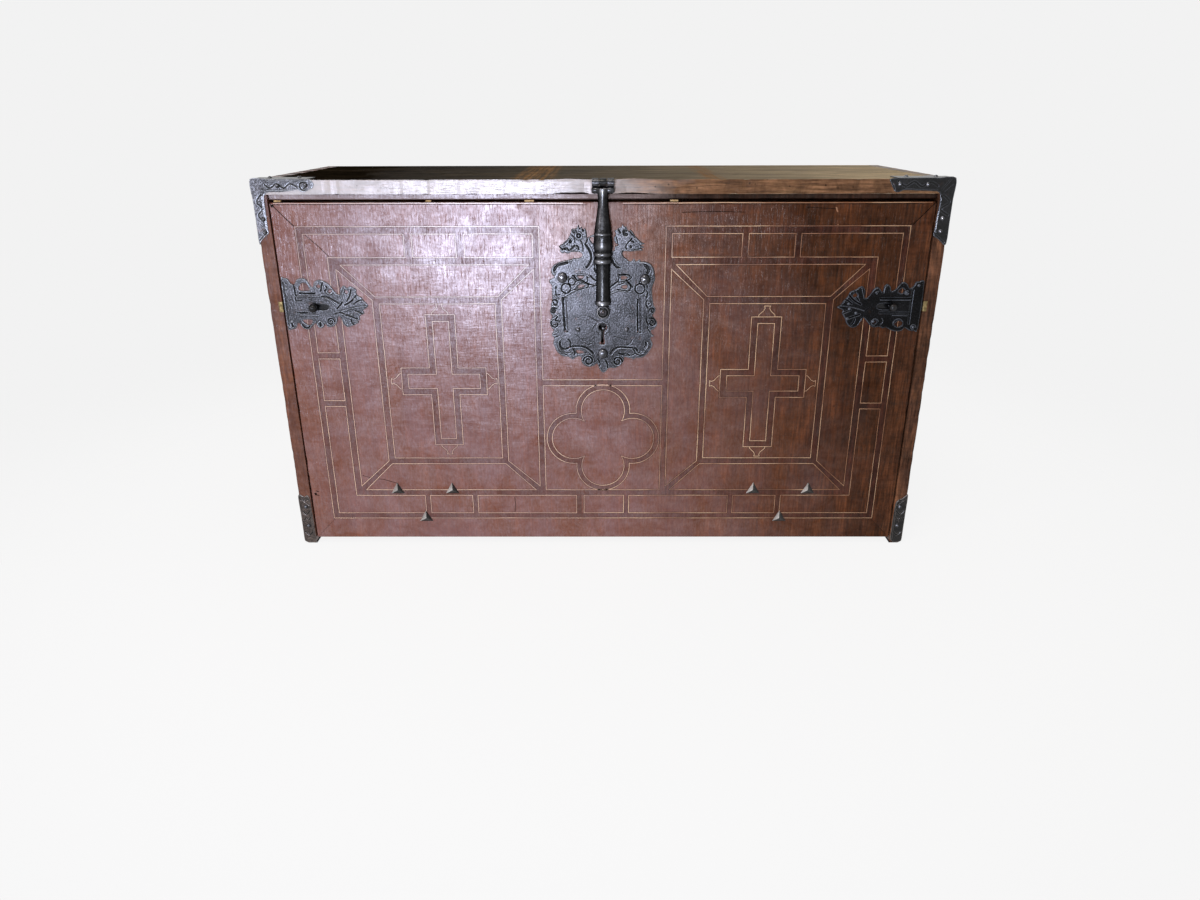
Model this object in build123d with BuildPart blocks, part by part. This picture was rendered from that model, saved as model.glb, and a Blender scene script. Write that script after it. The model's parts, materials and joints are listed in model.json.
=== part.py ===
from build123d import *
import math
import os

os.makedirs("parts", exist_ok=True)

# A fall-front writing chest (vargueno). The frame has X along the width, +Y to the back and +Z up.
# The origin is the middle of the underside. Lengths are in millimetres.

# carcass
board_width = 1048.0            # over the two side boards
depth = 400.0                   # front edges to back
board_height = 603.0            # underside to the top surface
side_board = 20.0
top_board_thick = 21.0
bottom_board_thick = 22.0
back_board_thick = 20.0
edge_round = 1.2                # worn arris of a board

# fall front
fall_thick = 24.0
fall_side_gap = 2.0
fall_bottom = 11.0
fall_top = 570.5
batten_width = 34.0             # mitred end battens of the fall
hinge_axis_height = 8.0
hinge_axis_inset = 25.0         # from the front face back to the pin
fall_travel = math.radians(90)

# ironwork
iron = 1.5                      # thickness of the corner straps
plate_iron = 3.0                # thickness of the lock and bolt plates
running_gap = 0.05              # radial, pins in their knuckles
free_gap = 0.3                  # between moving pieces elsewhere

half_width = board_width / 2
inner_x = half_width - side_board
front_y = -depth / 2
back_y = depth / 2
inner_top = board_height - top_board_thick
fall_half = inner_x - fall_side_gap
fall_back = front_y + fall_thick
hinge_y = front_y + hinge_axis_inset
batten_inner = fall_half - batten_width
front_plane = Plane.XZ.offset(-front_y)


def keep(piece, name):
    """Label a finished piece and write its file."""
    piece.label = name
    export_step(piece, f"parts/{name}.step")


def block(low, high, mode=Mode.ADD):
    """A straight-sided block between two opposite corners, in the open part."""
    middle = tuple((a + b) / 2 for a, b in zip(low, high))
    size = [b - a for a, b in zip(low, high)]
    with Locations(middle):
        Box(*size, mode=mode)


def rod(start, end, radius, mode=Mode.ADD):
    """A round bar between two points, in the open part."""
    line = Edge.make_line(start, end)
    plane = Plane(origin=start, z_dir=line % 0)
    with Locations(plane.location):
        Cylinder(radius, line.length, align=(Align.CENTER, Align.CENTER, Align.MIN), mode=mode)


# Carcass boards
tail_count_top = 7
tail_count_bottom = 6
tail_root = 17.0                # half width of a dovetail at its root
tail_end = 21.0                 # half width at its end


def dovetails(x_start, y_start, count, z_root, z_end):
    """Faces of the dovetails cut on the end of a side board, seen from the side."""
    pitch = (back_y - y_start) / count
    with BuildSketch(Plane.YZ.offset(x_start)) as faces:
        for number in range(count):
            y = y_start + (number + 0.5) * pitch
            with BuildLine():
                Polyline(
                    (y - tail_root, z_root),
                    (y + tail_root, z_root),
                    (y + tail_end, z_end),
                    (y - tail_end, z_end),
                    close=True,
                )
            make_face()
    return faces.sketch


def top_tails(x_start):
    return dovetails(x_start, front_y, tail_count_top, inner_top, board_height)


def bottom_tails(x_start):
    return dovetails(x_start, bottom_front, tail_count_bottom, bottom_board_thick, 0)


bottom_front = fall_back + 2.0  # front edge of the bottom board, behind the closed fall

# side bolts run in a channel of the fall and enter the side boards
bolt_middle_z = 414.5
bolt_half_height = 5.0
bolt_front = front_y + 2.5
bolt_back = bolt_front + 5.0
bolt_slack = 0.5
bolt_tip_depth = 14.0           # how far a shot bolt stands in the side board
bolt_travel = 16.0
strike_depth = 6.0
strike_half_height = 8.0
strike_margin = 2.5             # brass behind the mortise

# corner straps and shoes lie on the wood, and only a shoe's tongue is let in
strap_return = 42.0             # how far a strap runs back along the top or the side
shoe_height = 90.0
shoe_return = 45.0
shoe_tongue = 24.0              # runs back under the side board, in front of the bottom board
foot_round = 6.0                # lower arrises of the side boards at the front

for side, sign in (("left", -1), ("right", 1)):
    x_start = inner_x if sign > 0 else -half_width
    with BuildPart() as side_board_part:
        block((x_start, front_y, bottom_board_thick), (x_start + side_board, back_y, inner_top))
        block((x_start, front_y, 0), (x_start + side_board, bottom_front, bottom_board_thick))
        extrude(top_tails(x_start), amount=side_board)
        extrude(bottom_tails(x_start), amount=side_board)
        # the lower front corner is rounded under the shoe
        lower_front = (
            side_board_part.edges()
            .filter_by(Axis.Y)
            .filter_by(lambda e: e.center().Z < 0.1 and e.center().Y < bottom_front)
        )
        fillet(lower_front, foot_round)
        # the shoe's tongue is let in flush with the underside
        block(
            (x_start + foot_round, front_y, -1),
            (x_start + side_board - foot_round, front_y + shoe_tongue, iron),
            mode=Mode.SUBTRACT,
        )
        # mortise for the side bolt, lined with the strike
        mortise = sorted((sign * (inner_x - 1), sign * (inner_x + bolt_tip_depth + 2)))
        block(
            (mortise[0], bolt_front - bolt_slack, bolt_middle_z - bolt_half_height - bolt_slack),
            (mortise[1], bolt_back + bolt_slack, bolt_middle_z + bolt_half_height + bolt_slack),
            mode=Mode.SUBTRACT,
        )
        seat = sorted((sign * (inner_x - 1), sign * (inner_x + strike_depth)))
        block(
            (seat[0], front_y - 1, bolt_middle_z - strike_half_height),
            (seat[1], bolt_back + strike_margin, bolt_middle_z + strike_half_height),
            mode=Mode.SUBTRACT,
        )
    keep(side_board_part.part, f"side_board_{side}")

hasp_x = 1.0
hasp_y = front_y - 7.5          # the hasp's pin, in front of the top board's edge
hasp_pin_z = 599.0
hasp_knuckle_half = 5.2         # the middle knuckle is an eye driven into the top board
hasp_knuckle_radius = 6.3
eye_spike_half = 3.0
eye_spike_high = 5.0
eye_spike_long = 36.0

with BuildPart() as top_board:
    block((-half_width, front_y, inner_top), (half_width, back_y, board_height))
    extrude(top_tails(-half_width), amount=side_board, mode=Mode.SUBTRACT)
    extrude(top_tails(inner_x), amount=side_board, mode=Mode.SUBTRACT)
    block(
        (hasp_x - eye_spike_half, front_y - 1, hasp_pin_z - eye_spike_high),
        (hasp_x + eye_spike_half, front_y + eye_spike_long, hasp_pin_z),
        mode=Mode.SUBTRACT,
    )
keep(top_board.part, "top_board")

hinge_x = 330.0                 # middle of each fall hinge
hinge_half = 30.0
knuckle_half = 10.0             # the fall's middle knuckle
knuckle_radius = 5.0
hinge_pin_radius = 2.0
leaf_thick = 2.0
leaf_height = 62.0
leaf_margin = 0.6               # from a case leaf to the bottom board's arrises

with BuildPart() as bottom_board:
    block((-half_width, bottom_front, 0), (half_width, back_y, bottom_board_thick))
    extrude(bottom_tails(-half_width), amount=side_board, mode=Mode.SUBTRACT)
    extrude(bottom_tails(inner_x), amount=side_board, mode=Mode.SUBTRACT)
    for sign in (-1, 1):
        x = sign * hinge_x
        rod(
            (x - hinge_half - free_gap, hinge_y, hinge_axis_height),
            (x + hinge_half + free_gap, hinge_y, hinge_axis_height),
            knuckle_radius + free_gap,
            mode=Mode.SUBTRACT,
        )
        block(
            (x - hinge_half, bottom_front - 1, leaf_margin),
            (x + hinge_half, bottom_front + leaf_thick, bottom_board_thick - leaf_margin),
            mode=Mode.SUBTRACT,
        )
keep(bottom_board.part, "bottom_board")

with BuildPart() as back_board:
    block((-inner_x, back_y - back_board_thick, bottom_board_thick), (inner_x, back_y, inner_top))
keep(back_board.part, "back_board")

rail_height = 8.0
rail_set_back = 8.0
with BuildPart() as top_rail:
    block((-inner_x, front_y + rail_set_back, inner_top - rail_height), (inner_x, fall_back, inner_top))
    fillet(top_rail.edges().filter_by(Axis.X).group_by(Axis.Z)[0].sort_by(Axis.Y)[0], 1.5)
keep(top_rail.part, "top_rail")

# Drawer case inside
case_front = front_y + 48.0     # face of the drawers
case_board = 10.0
centre_half = 125.0             # half width of the middle column
case_back = back_y - back_board_thick
case_base = bottom_board_thick + case_board
case_top = inner_top - case_board
row_height = (case_top - case_base - 2 * case_board) / 3
row_floors = [case_base + row * (row_height + case_board) for row in range(3)]
pivot_radius = 2.5
pivot_length = 6.0
door_thick = 14.0
door_pivot_x = -centre_half + door_thick / 2 + 0.6
door_pivot_y = case_front + door_thick / 2

with BuildPart() as shelves:
    for shelf_top in row_floors + [inner_top]:
        block((-inner_x, case_front, shelf_top - case_board), (inner_x, case_back, shelf_top))
    # sockets for the cupboard door's pivots
    door_floor = row_floors[1]
    rod(
        (door_pivot_x, door_pivot_y, door_floor - pivot_length),
        (door_pivot_x, door_pivot_y, door_floor + 1),
        pivot_radius + running_gap,
        mode=Mode.SUBTRACT,
    )
    rod(
        (door_pivot_x, door_pivot_y, door_floor + row_height - 1),
        (door_pivot_x, door_pivot_y, door_floor + row_height + pivot_length),
        pivot_radius + running_gap,
        mode=Mode.SUBTRACT,
    )
keep(shelves.part, "case_shelves")

with BuildPart() as dividers:
    for floor in row_floors:
        for sign in (-1, 1):
            x_near, x_far = sorted((sign * centre_half, sign * (centre_half + case_board)))
            block((x_near, case_front, floor), (x_far, case_back, floor + row_height))
keep(dividers.part, "case_dividers")

# drawers: each is a tray with a thicker front, and slides out under the open fall
slide_gap = 0.6
drawer_front_thick = 14.0
tray_wall = 8.0
tray_floor = 6.0
tray_inset = 1.0                # the tray is narrower than its front, each side
tray_drop = 6.0                 # and lower
drawer_length = case_back - case_front - 8.0
knob_length = 12.0
knob_radius = 7.5

with BuildPart() as knob:
    with BuildSketch(Plane.XY):
        with BuildLine():
            l1 = Polyline((0, 0), (5.5, 0), (5.5, 1.2), (3.0, 2.6))
            l2 = ThreePointArc(l1 @ 1, (knob_radius, 8.2), (4.2, 11.2))
            Line(l2 @ 1, (0, knob_length))
            Line((0, knob_length), (0, 0))
        make_face()
    revolve(axis=Axis.Y)
knob_shape = knob.part


def pull_at(x, z):
    """A turned knob standing out of a drawer front towards the fall."""
    return knob_shape.moved(Location((x, case_front, z), (0, 0, 180)))


def make_drawer(name, x_left, x_right, floor):
    x_low, x_high = x_left + slide_gap, x_right - slide_gap
    z_low, z_high = floor + slide_gap, floor + row_height - slide_gap
    with BuildPart() as front:
        block((x_low, case_front, z_low), (x_high, case_front + drawer_front_thick, z_high))
        fillet(front.faces().sort_by(Axis.Y)[0].edges(), edge_round)
    with BuildPart() as tray:
        block(
            (x_low + tray_inset, case_front + drawer_front_thick, z_low),
            (x_high - tray_inset, case_front + drawer_length, z_high - tray_drop),
        )
        block(
            (
                x_low + tray_inset + tray_wall,
                case_front + drawer_front_thick + tray_wall,
                z_low + tray_floor,
            ),
            (x_high - tray_inset - tray_wall, case_front + drawer_length - tray_wall, z_high),
            mode=Mode.SUBTRACT,
        )
    keep(Compound(children=[front.part, tray.part]), f"drawer_{name}")
    keep(pull_at((x_left + x_right) / 2, (z_low + z_high) / 2), f"drawer_knob_{name}")


columns = {
    "left": (-inner_x, -centre_half - case_board),
    "centre": (-centre_half, centre_half),
    "right": (centre_half + case_board, inner_x),
}
bays_without_drawer = [("middle", "centre"), ("top", "centre")]    # the cupboard and the pigeonhole
for row, floor in zip(("bottom", "middle", "top"), row_floors):
    for column, (x_left, x_right) in columns.items():
        if (row, column) not in bays_without_drawer:
            make_drawer(f"{row}_{column}", x_left, x_right, floor)

# an arch frames the open pigeonhole in the top row, under the lid
arch_thick = 8.0
arch_set_back = 3.0
arch_half = 104.0               # half width of its opening
arch_spring = 78.0              # height at which the curve starts
arch_crown = 148.0
with BuildPart() as pigeonhole_arch:
    block(
        (-centre_half + slide_gap / 2, case_front + arch_set_back, row_floors[2]),
        (centre_half - slide_gap / 2, case_front + arch_set_back + arch_thick, row_floors[2] + row_height),
    )
    with BuildSketch(Plane.XZ.offset(-case_front)):
        with Locations((0, row_floors[2] + arch_spring)):
            Ellipse(arch_half, arch_crown - arch_spring)
        with Locations((0, row_floors[2] + arch_spring / 2)):
            Rectangle(2 * arch_half, arch_spring)
    extrude(amount=-arch_set_back - arch_thick - 1, mode=Mode.SUBTRACT)
keep(pigeonhole_arch.part, "pigeonhole_arch")

with BuildPart() as cupboard_door:
    block(
        (-centre_half + slide_gap, case_front, row_floors[1] + slide_gap),
        (centre_half - slide_gap, case_front + door_thick, row_floors[1] + row_height - slide_gap),
    )
    # the hinge side is round about the pivots, so it turns clear of the divider
    fillet(
        cupboard_door.edges().filter_by(Axis.Z).sort_by(Axis.X)[:2],
        door_thick / 2 - 0.8,
    )
    rod(
        (door_pivot_x, door_pivot_y, row_floors[1] - 1),
        (door_pivot_x, door_pivot_y, row_floors[1] + row_height + 1),
        pivot_radius,
        mode=Mode.SUBTRACT,
    )
keep(cupboard_door.part, "cupboard_door")

with BuildPart() as door_pivots:
    rod(
        (door_pivot_x, door_pivot_y, row_floors[1] - pivot_length + 0.5),
        (door_pivot_x, door_pivot_y, row_floors[1] + row_height + pivot_length - 0.5),
        pivot_radius,
    )
keep(door_pivots.part, "cupboard_pivot_rod")
cupboard_knob_inset = 22.0      # from the door's opening edge
keep(
    pull_at(centre_half - cupboard_knob_inset, row_floors[1] + row_height / 2),
    "cupboard_knob",
)

# Fall
lock_case_half = 55.0
lock_case_low, lock_case_high = 345.0, 435.0
lock_case_front = front_y + 10.0
lock_wall = 1.5
staple_z = 408.0                # middle of the hasp's staple and of the lock bolt
staple_half_height = 7.5
staple_half_thick = 2.0
keyhole_z = 382.0
keyhole_radius = 6.0
keyhole_foot = 355.0
keyhole_foot_half = 2.2
slot_slack = 0.8                # round the staple
channel_inner = 408.0           # inner end of a side bolt's channel


def staple_slot_and_keyhole(y_from, y_to):
    """Cut the openings for the hasp's staple and the key through a layer."""
    block(
        (hasp_x - staple_half_thick - slot_slack, y_from, staple_z - staple_half_height - 2),
        (hasp_x + staple_half_thick + slot_slack, y_to, staple_z + staple_half_height + 1),
        mode=Mode.SUBTRACT,
    )
    rod((0, y_from, keyhole_z), (0, y_to, keyhole_z), keyhole_radius, mode=Mode.SUBTRACT)
    block(
        (-keyhole_foot_half, y_from, keyhole_foot),
        (keyhole_foot_half, y_to, keyhole_z),
        mode=Mode.SUBTRACT,
    )


def bolt_channel():
    """Cut the channels of the two side bolts into the open part of the fall."""
    for sign in (-1, 1):
        x_low, x_high = sorted((sign * channel_inner, sign * (fall_half + 1)))
        block(
            (x_low, front_y - 1, bolt_middle_z - bolt_half_height - bolt_slack),
            (x_high, bolt_back + bolt_slack, bolt_middle_z + bolt_half_height + bolt_slack),
            mode=Mode.SUBTRACT,
        )


with BuildPart() as fall_board:
    with BuildSketch(front_plane):
        with BuildLine():
            Polyline(
                (-fall_half, fall_top),
                (fall_half, fall_top),
                (batten_inner, fall_top - batten_width),
                (batten_inner, fall_bottom + batten_width),
                (fall_half, fall_bottom),
                (-fall_half, fall_bottom),
                (-batten_inner, fall_bottom + batten_width),
                (-batten_inner, fall_top - batten_width),
                close=True,
            )
        make_face()
    extrude(amount=-fall_thick)
    long_edges = fall_board.edges().filter_by(Axis.X).group_by(Axis.Y)[0]
    fillet(long_edges, edge_round)
    for sign in (-1, 1):
        x = sign * hinge_x
        rod(
            (x - hinge_half - free_gap, hinge_y, hinge_axis_height),
            (x + hinge_half + free_gap, hinge_y, hinge_axis_height),
            knuckle_radius + free_gap,
            mode=Mode.SUBTRACT,
        )
        block(
            (x - hinge_half, fall_back - leaf_thick, fall_bottom - 1),
            (x + hinge_half, fall_back + 1, hinge_axis_height + leaf_height),
            mode=Mode.SUBTRACT,
        )
    staple_slot_and_keyhole(front_y - 1, lock_case_front + 1)
    block(
        (-lock_case_half, lock_case_front, lock_case_low),
        (lock_case_half, fall_back + 1, lock_case_high),
        mode=Mode.SUBTRACT,
    )
    bolt_channel()
keep(fall_board.part, "fall_board")

for side, sign in (("left", -1), ("right", 1)):
    with BuildPart() as batten:
        with BuildSketch(front_plane):
            with BuildLine():
                Polyline(
                    (sign * fall_half, fall_top),
                    (sign * batten_inner, fall_top - batten_width),
                    (sign * batten_inner, fall_bottom + batten_width),
                    (sign * fall_half, fall_bottom),
                    close=True,
                )
            make_face()
        extrude(amount=-fall_thick)
        bolt_channel()
    keep(batten.part, f"fall_batten_{side}")

# Fall hinges
for side, sign in (("left", -1), ("right", 1)):
    x = sign * hinge_x
    with BuildPart() as fall_leaf:
        block(
            (x - hinge_half, fall_back - leaf_thick, hinge_axis_height + knuckle_radius + 0.6),
            (x + hinge_half, fall_back, hinge_axis_height + leaf_height),
        )
        block(
            (x - knuckle_half + free_gap, fall_back - leaf_thick, hinge_axis_height),
            (x + knuckle_half - free_gap, fall_back, hinge_axis_height + leaf_height / 2),
        )
        rod(
            (x - knuckle_half + free_gap, hinge_y, hinge_axis_height),
            (x + knuckle_half - free_gap, hinge_y, hinge_axis_height),
            knuckle_radius,
        )
        rod(
            (x - hinge_half, hinge_y, hinge_axis_height),
            (x + hinge_half, hinge_y, hinge_axis_height),
            hinge_pin_radius + running_gap,
            mode=Mode.SUBTRACT,
        )
    keep(fall_leaf.part, f"hinge_fall_leaf_{side}")
    with BuildPart() as case_leaf:
        block(
            (x - hinge_half, bottom_front, leaf_margin),
            (x + hinge_half, bottom_front + leaf_thick, bottom_board_thick - leaf_margin),
        )
        rod(
            (x - hinge_half, hinge_y, hinge_axis_height),
            (x + hinge_half, hinge_y, hinge_axis_height),
            knuckle_radius,
        )
        rod(
            (x - knuckle_half, hinge_y, hinge_axis_height),
            (x + knuckle_half, hinge_y, hinge_axis_height),
            knuckle_radius + free_gap,
            mode=Mode.SUBTRACT,
        )
        rod(
            (x - hinge_half, hinge_y, hinge_axis_height),
            (x + hinge_half, hinge_y, hinge_axis_height),
            hinge_pin_radius + running_gap,
            mode=Mode.SUBTRACT,
        )
    keep(case_leaf.part, f"hinge_case_leaf_{side}")
    with BuildPart() as hinge_pin:
        rod(
            (x - hinge_half, hinge_y, hinge_axis_height),
            (x + hinge_half, hinge_y, hinge_axis_height),
            hinge_pin_radius,
        )
    keep(hinge_pin.part, f"hinge_pin_{side}")

# Lock plate
plate_half = 77.0
plate_low, plate_high = 345.0, 470.0

with BuildPart() as lock_plate:
    with BuildSketch(front_plane):
        with Locations((0, (plate_low + plate_high) / 2)):
            Rectangle(2 * plate_half, plate_high - plate_low)
        for sign in (-1, 1):
            # a beast's head looking outwards, with an open gap under its jaw
            with BuildLine():
                throat = Polyline(
                    (sign * 8, plate_high - 4),
                    (sign * 72, plate_high - 4),
                    (sign * 72, 480),
                    (sign * 50, 485),
                    (sign * 38, 485),
                    (sign * 31, 492),
                    (sign * 40, 498),
                    (sign * 63, 500),
                    (sign * 65, 505),
                )
                crown = Spline(
                    throat @ 1, (sign * 52, 520), (sign * 35, 538), (sign * 22, 527), (sign * 14, 500)
                )
                Polyline(crown @ 1, (sign * 8, 500), (sign * 8, plate_high - 4))
            make_face()
            # scrolls down the side, round the lower corner and beside the drop
            with Locations((sign * 76, 456), (sign * 76, 407), (sign * 76, 386)):
                Circle(7)
            with Locations((sign * 62, 351)):
                Circle(17)
            with Locations((sign * 44, 340)):
                Rectangle(36, 14)
            with Locations((sign * 23, 328)):
                Circle(11.5)
        with Locations((1, 326)):
            Ellipse(8, 18)
        with Locations((0, 340)):
            Rectangle(50, 20)
    extrude(amount=plate_iron)
    staple_slot_and_keyhole(front_y - plate_iron - 1, front_y + 1)
keep(lock_plate.part, "lock_plate")

stud_radius = 7.0
stud_depth = front_y - plate_iron


def dome(x, z, radius, height):
    """A domed nail head standing on a face that looks to the front."""
    sphere_radius = (radius**2 + height**2) / (2 * height)
    with Locations((x, stud_depth + sphere_radius - height, z)):
        Sphere(sphere_radius)


with BuildPart() as studs:
    for x, z in ((-62, 460), (66, 457), (0.7, 340)):
        dome(x, z, stud_radius, 6.0)
    for x in (-38.5, 38.5):
        dome(x, 379, 4.0, 2.2)
    split(bisect_by=Plane.XZ.offset(-stud_depth), keep=Keep.TOP)
keep(studs.part, "lock_plate_studs")

bolt_layer = lock_case_front + 2.0         # front of the lock bolt
bolt_layer_end = lock_case_front + 7.0
talon_back = lock_case_front + 10.0
rail_near, rail_far = 5.0, 10.0            # each rail's edges, from the bolt's middle
with BuildPart() as lock_case:
    block(
        (-lock_case_half, lock_case_front, lock_case_low),
        (lock_case_half, fall_back, lock_case_high),
    )
    block(
        (-lock_case_half + lock_wall, lock_case_front + lock_wall, lock_case_low + lock_wall),
        (lock_case_half - lock_wall, fall_back - lock_wall, lock_case_high - lock_wall),
        mode=Mode.SUBTRACT,
    )
    staple_slot_and_keyhole(lock_case_front - 1, lock_case_front + lock_wall + 0.5)
    # two rails carry the lock bolt
    for z_low, z_high in (
        (staple_z - rail_far, staple_z - rail_near),
        (staple_z + rail_near, staple_z + rail_far),
    ):
        block((-40, lock_case_front + lock_wall, z_low), (-12, bolt_layer_end, z_high))
keep(lock_case.part, "lock_case")

lock_bolt_half = 4.5
with BuildPart() as lock_bolt:
    block(
        (-42, bolt_layer, staple_z - lock_bolt_half),
        (-5, bolt_layer_end, staple_z + lock_bolt_half),
    )
    # the talon, which the key catches, hangs behind the lower rail
    block(
        (-36, bolt_layer_end, staple_z - lock_bolt_half),
        (-26, talon_back, staple_z + lock_bolt_half),
    )
    block((-36, bolt_layer_end + free_gap, staple_z - 24), (-26, talon_back, staple_z))
keep(lock_bolt.part, "lock_bolt")

# Side bolts
knob_x = 453.5
slot_half_height = 3.6
stem_radius = 3.0
bolt_ball_radius = 6.5
bolt_ball_reach = 10.5          # from the fall's face to the middle of the ball
bolt_inner_x = 432.0            # inner end of a shot bolt

for side, sign in (("left", -1), ("right", 1)):
    with BuildPart() as bolt_plate:
        with BuildSketch(front_plane):
            with BuildLine():
                upper = Spline(
                    (sign * 369, 413),
                    (sign * 387, 435),
                    (sign * 403, 446),
                    (sign * 413, 429),
                    (sign * 426, 444),
                    (sign * 436, 437),
                    (sign * 445, 450),
                    (sign * 456, 438),
                    (sign * 469, 452),
                    (sign * 480, 443),
                )
                lower = Spline(
                    (sign * 480, 382),
                    (sign * 471, 375),
                    (sign * 456, 381),
                    (sign * 443, 377),
                    (sign * 430, 385),
                    (sign * 416, 396),
                    (sign * 400, 382),
                    (sign * 384, 392),
                    (sign * 369, 413),
                )
                Polyline(
                    upper @ 1,
                    (sign * 488, 453),
                    (sign * 501, 453),
                    (sign * 501, 376),
                    (sign * 488, 376),
                    lower @ 0,
                )
            make_face()
        extrude(amount=plate_iron)
        x_low, x_high = sorted(
            (sign * (knob_x - bolt_travel - slot_half_height), sign * (knob_x + slot_half_height))
        )
        block(
            (x_low, front_y - plate_iron - 1, bolt_middle_z - slot_half_height),
            (x_high, front_y + 1, bolt_middle_z + slot_half_height),
            mode=Mode.SUBTRACT,
        )
    keep(bolt_plate.part, f"bolt_plate_{side}")
    with BuildPart() as side_bolt:
        x_low, x_high = sorted((sign * bolt_inner_x, sign * (inner_x + bolt_tip_depth)))
        block(
            (x_low, bolt_front, bolt_middle_z - bolt_half_height),
            (x_high, bolt_back, bolt_middle_z + bolt_half_height),
        )
        rod(
            (sign * knob_x, bolt_front + 1, bolt_middle_z),
            (sign * knob_x, front_y - bolt_ball_reach + 2.5, bolt_middle_z),
            stem_radius,
        )
        with Locations((sign * knob_x, front_y - bolt_ball_reach, bolt_middle_z)):
            Sphere(bolt_ball_radius)
    keep(side_bolt.part, f"side_bolt_{side}")

with BuildPart() as strikes:
    for sign in (-1, 1):
        x_low, x_high = sorted((sign * inner_x, sign * (inner_x + strike_depth)))
        block(
            (x_low, front_y, bolt_middle_z - strike_half_height),
            (x_high, bolt_back + strike_margin, bolt_middle_z + strike_half_height),
        )
        block(
            (x_low, bolt_front - bolt_slack, bolt_middle_z - bolt_half_height - bolt_slack),
            (x_high, bolt_back + bolt_slack, bolt_middle_z + bolt_half_height + bolt_slack),
            mode=Mode.SUBTRACT,
        )
keep(strikes.part, "bolt_strikes")

# Hasp
hasp_flat = front_y - plate_iron - 1.2    # flat back of the hasp, clear of the lock plate
hasp_pin_radius = 2.5
knuckle_gap = 0.4
outer_knuckle = 16.5            # half width over the hasp's two knuckles

with BuildPart() as hasp:
    with BuildSketch(Plane.XZ.offset(-hasp_y)):
        with BuildLine():
            shoulder_edge = Line((hasp_x, 584), (hasp_x + 7.0, 584))
            neck = Spline(
                shoulder_edge @ 1,
                (hasp_x + 6.1, 570),
                (hasp_x + 9.2, 541),
                (hasp_x + 13.0, 508),
                (hasp_x + 12.0, 499),
            )
            Polyline(
                neck @ 1,
                (hasp_x + 13.3, 497),
                (hasp_x + 13.3, 483),
                (hasp_x + 10, 481),
                (hasp_x + 10, 426),
                (hasp_x + 10.8, 424),
                (hasp_x + 10.8, 419),
                (hasp_x + 6, 417),
                (hasp_x + 6, 410),
                (hasp_x, 410),
                shoulder_edge @ 0,
            )
        make_face()
    revolve(axis=Axis((hasp_x, hasp_y, 0), (0, 0, 1)))
    rod((hasp_x, front_y, staple_z), (hasp_x, hasp_y - 8, staple_z), 10.5)
    rod((hasp_x, hasp_y - 8, staple_z), (hasp_x, hasp_y - 10, staple_z), 5.0)
    split(bisect_by=Plane.XZ.offset(-hasp_flat), keep=Keep.TOP)
    # a rounded shoulder carries the two knuckles
    with BuildSketch(Plane.XY.offset(583)):
        with Locations((hasp_x, hasp_y)):
            RectangleRounded(2 * outer_knuckle + 2, 12, 5)
    extrude(amount=10)
    for x_start, x_end in (
        (-outer_knuckle, -hasp_knuckle_half - knuckle_gap),
        (hasp_knuckle_half + knuckle_gap, outer_knuckle),
    ):
        rod(
            (hasp_x + x_start, hasp_y, hasp_pin_z),
            (hasp_x + x_end, hasp_y, hasp_pin_z),
            hasp_knuckle_radius,
        )
    rod(
        (hasp_x - hasp_knuckle_half - knuckle_gap, hasp_y, hasp_pin_z),
        (hasp_x + hasp_knuckle_half + knuckle_gap, hasp_y, hasp_pin_z),
        hasp_knuckle_radius + free_gap,
        mode=Mode.SUBTRACT,
    )
    rod(
        (hasp_x - outer_knuckle - 1, hasp_y, hasp_pin_z),
        (hasp_x + outer_knuckle + 1, hasp_y, hasp_pin_z),
        hasp_pin_radius + running_gap,
        mode=Mode.SUBTRACT,
    )
    # staple on the back of the boss, which the lock bolt enters
    block(
        (hasp_x - staple_half_thick, hasp_flat - 1, staple_z - staple_half_height),
        (hasp_x + staple_half_thick, lock_case_front + 9, staple_z + staple_half_height),
    )
    block(
        (hasp_x - 3, lock_case_front + 1.5, staple_z - 5),
        (hasp_x + 3, lock_case_front + 7.5, staple_z + 5),
        mode=Mode.SUBTRACT,
    )
keep(hasp.part, "hasp")

with BuildPart() as hasp_eye:
    rod(
        (hasp_x - hasp_knuckle_half, hasp_y, hasp_pin_z),
        (hasp_x + hasp_knuckle_half, hasp_y, hasp_pin_z),
        hasp_knuckle_radius,
    )
    block(
        (hasp_x - eye_spike_half, hasp_y, hasp_pin_z - eye_spike_high),
        (hasp_x + eye_spike_half, front_y + eye_spike_long, hasp_pin_z),
    )
    rod(
        (hasp_x - hasp_knuckle_half, hasp_y, hasp_pin_z),
        (hasp_x + hasp_knuckle_half, hasp_y, hasp_pin_z),
        hasp_pin_radius + running_gap,
        mode=Mode.SUBTRACT,
    )
keep(hasp_eye.part, "hasp_eye")

with BuildPart() as hasp_pin:
    rod(
        (hasp_x - outer_knuckle, hasp_y, hasp_pin_z),
        (hasp_x + outer_knuckle, hasp_y, hasp_pin_z),
        hasp_pin_radius,
    )
keep(hasp_pin.part, "hasp_pin")

# Corner straps and shoes
strap_end_x = 428.0
strap_low = 510.0
strap_front_low = 587.0

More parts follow.
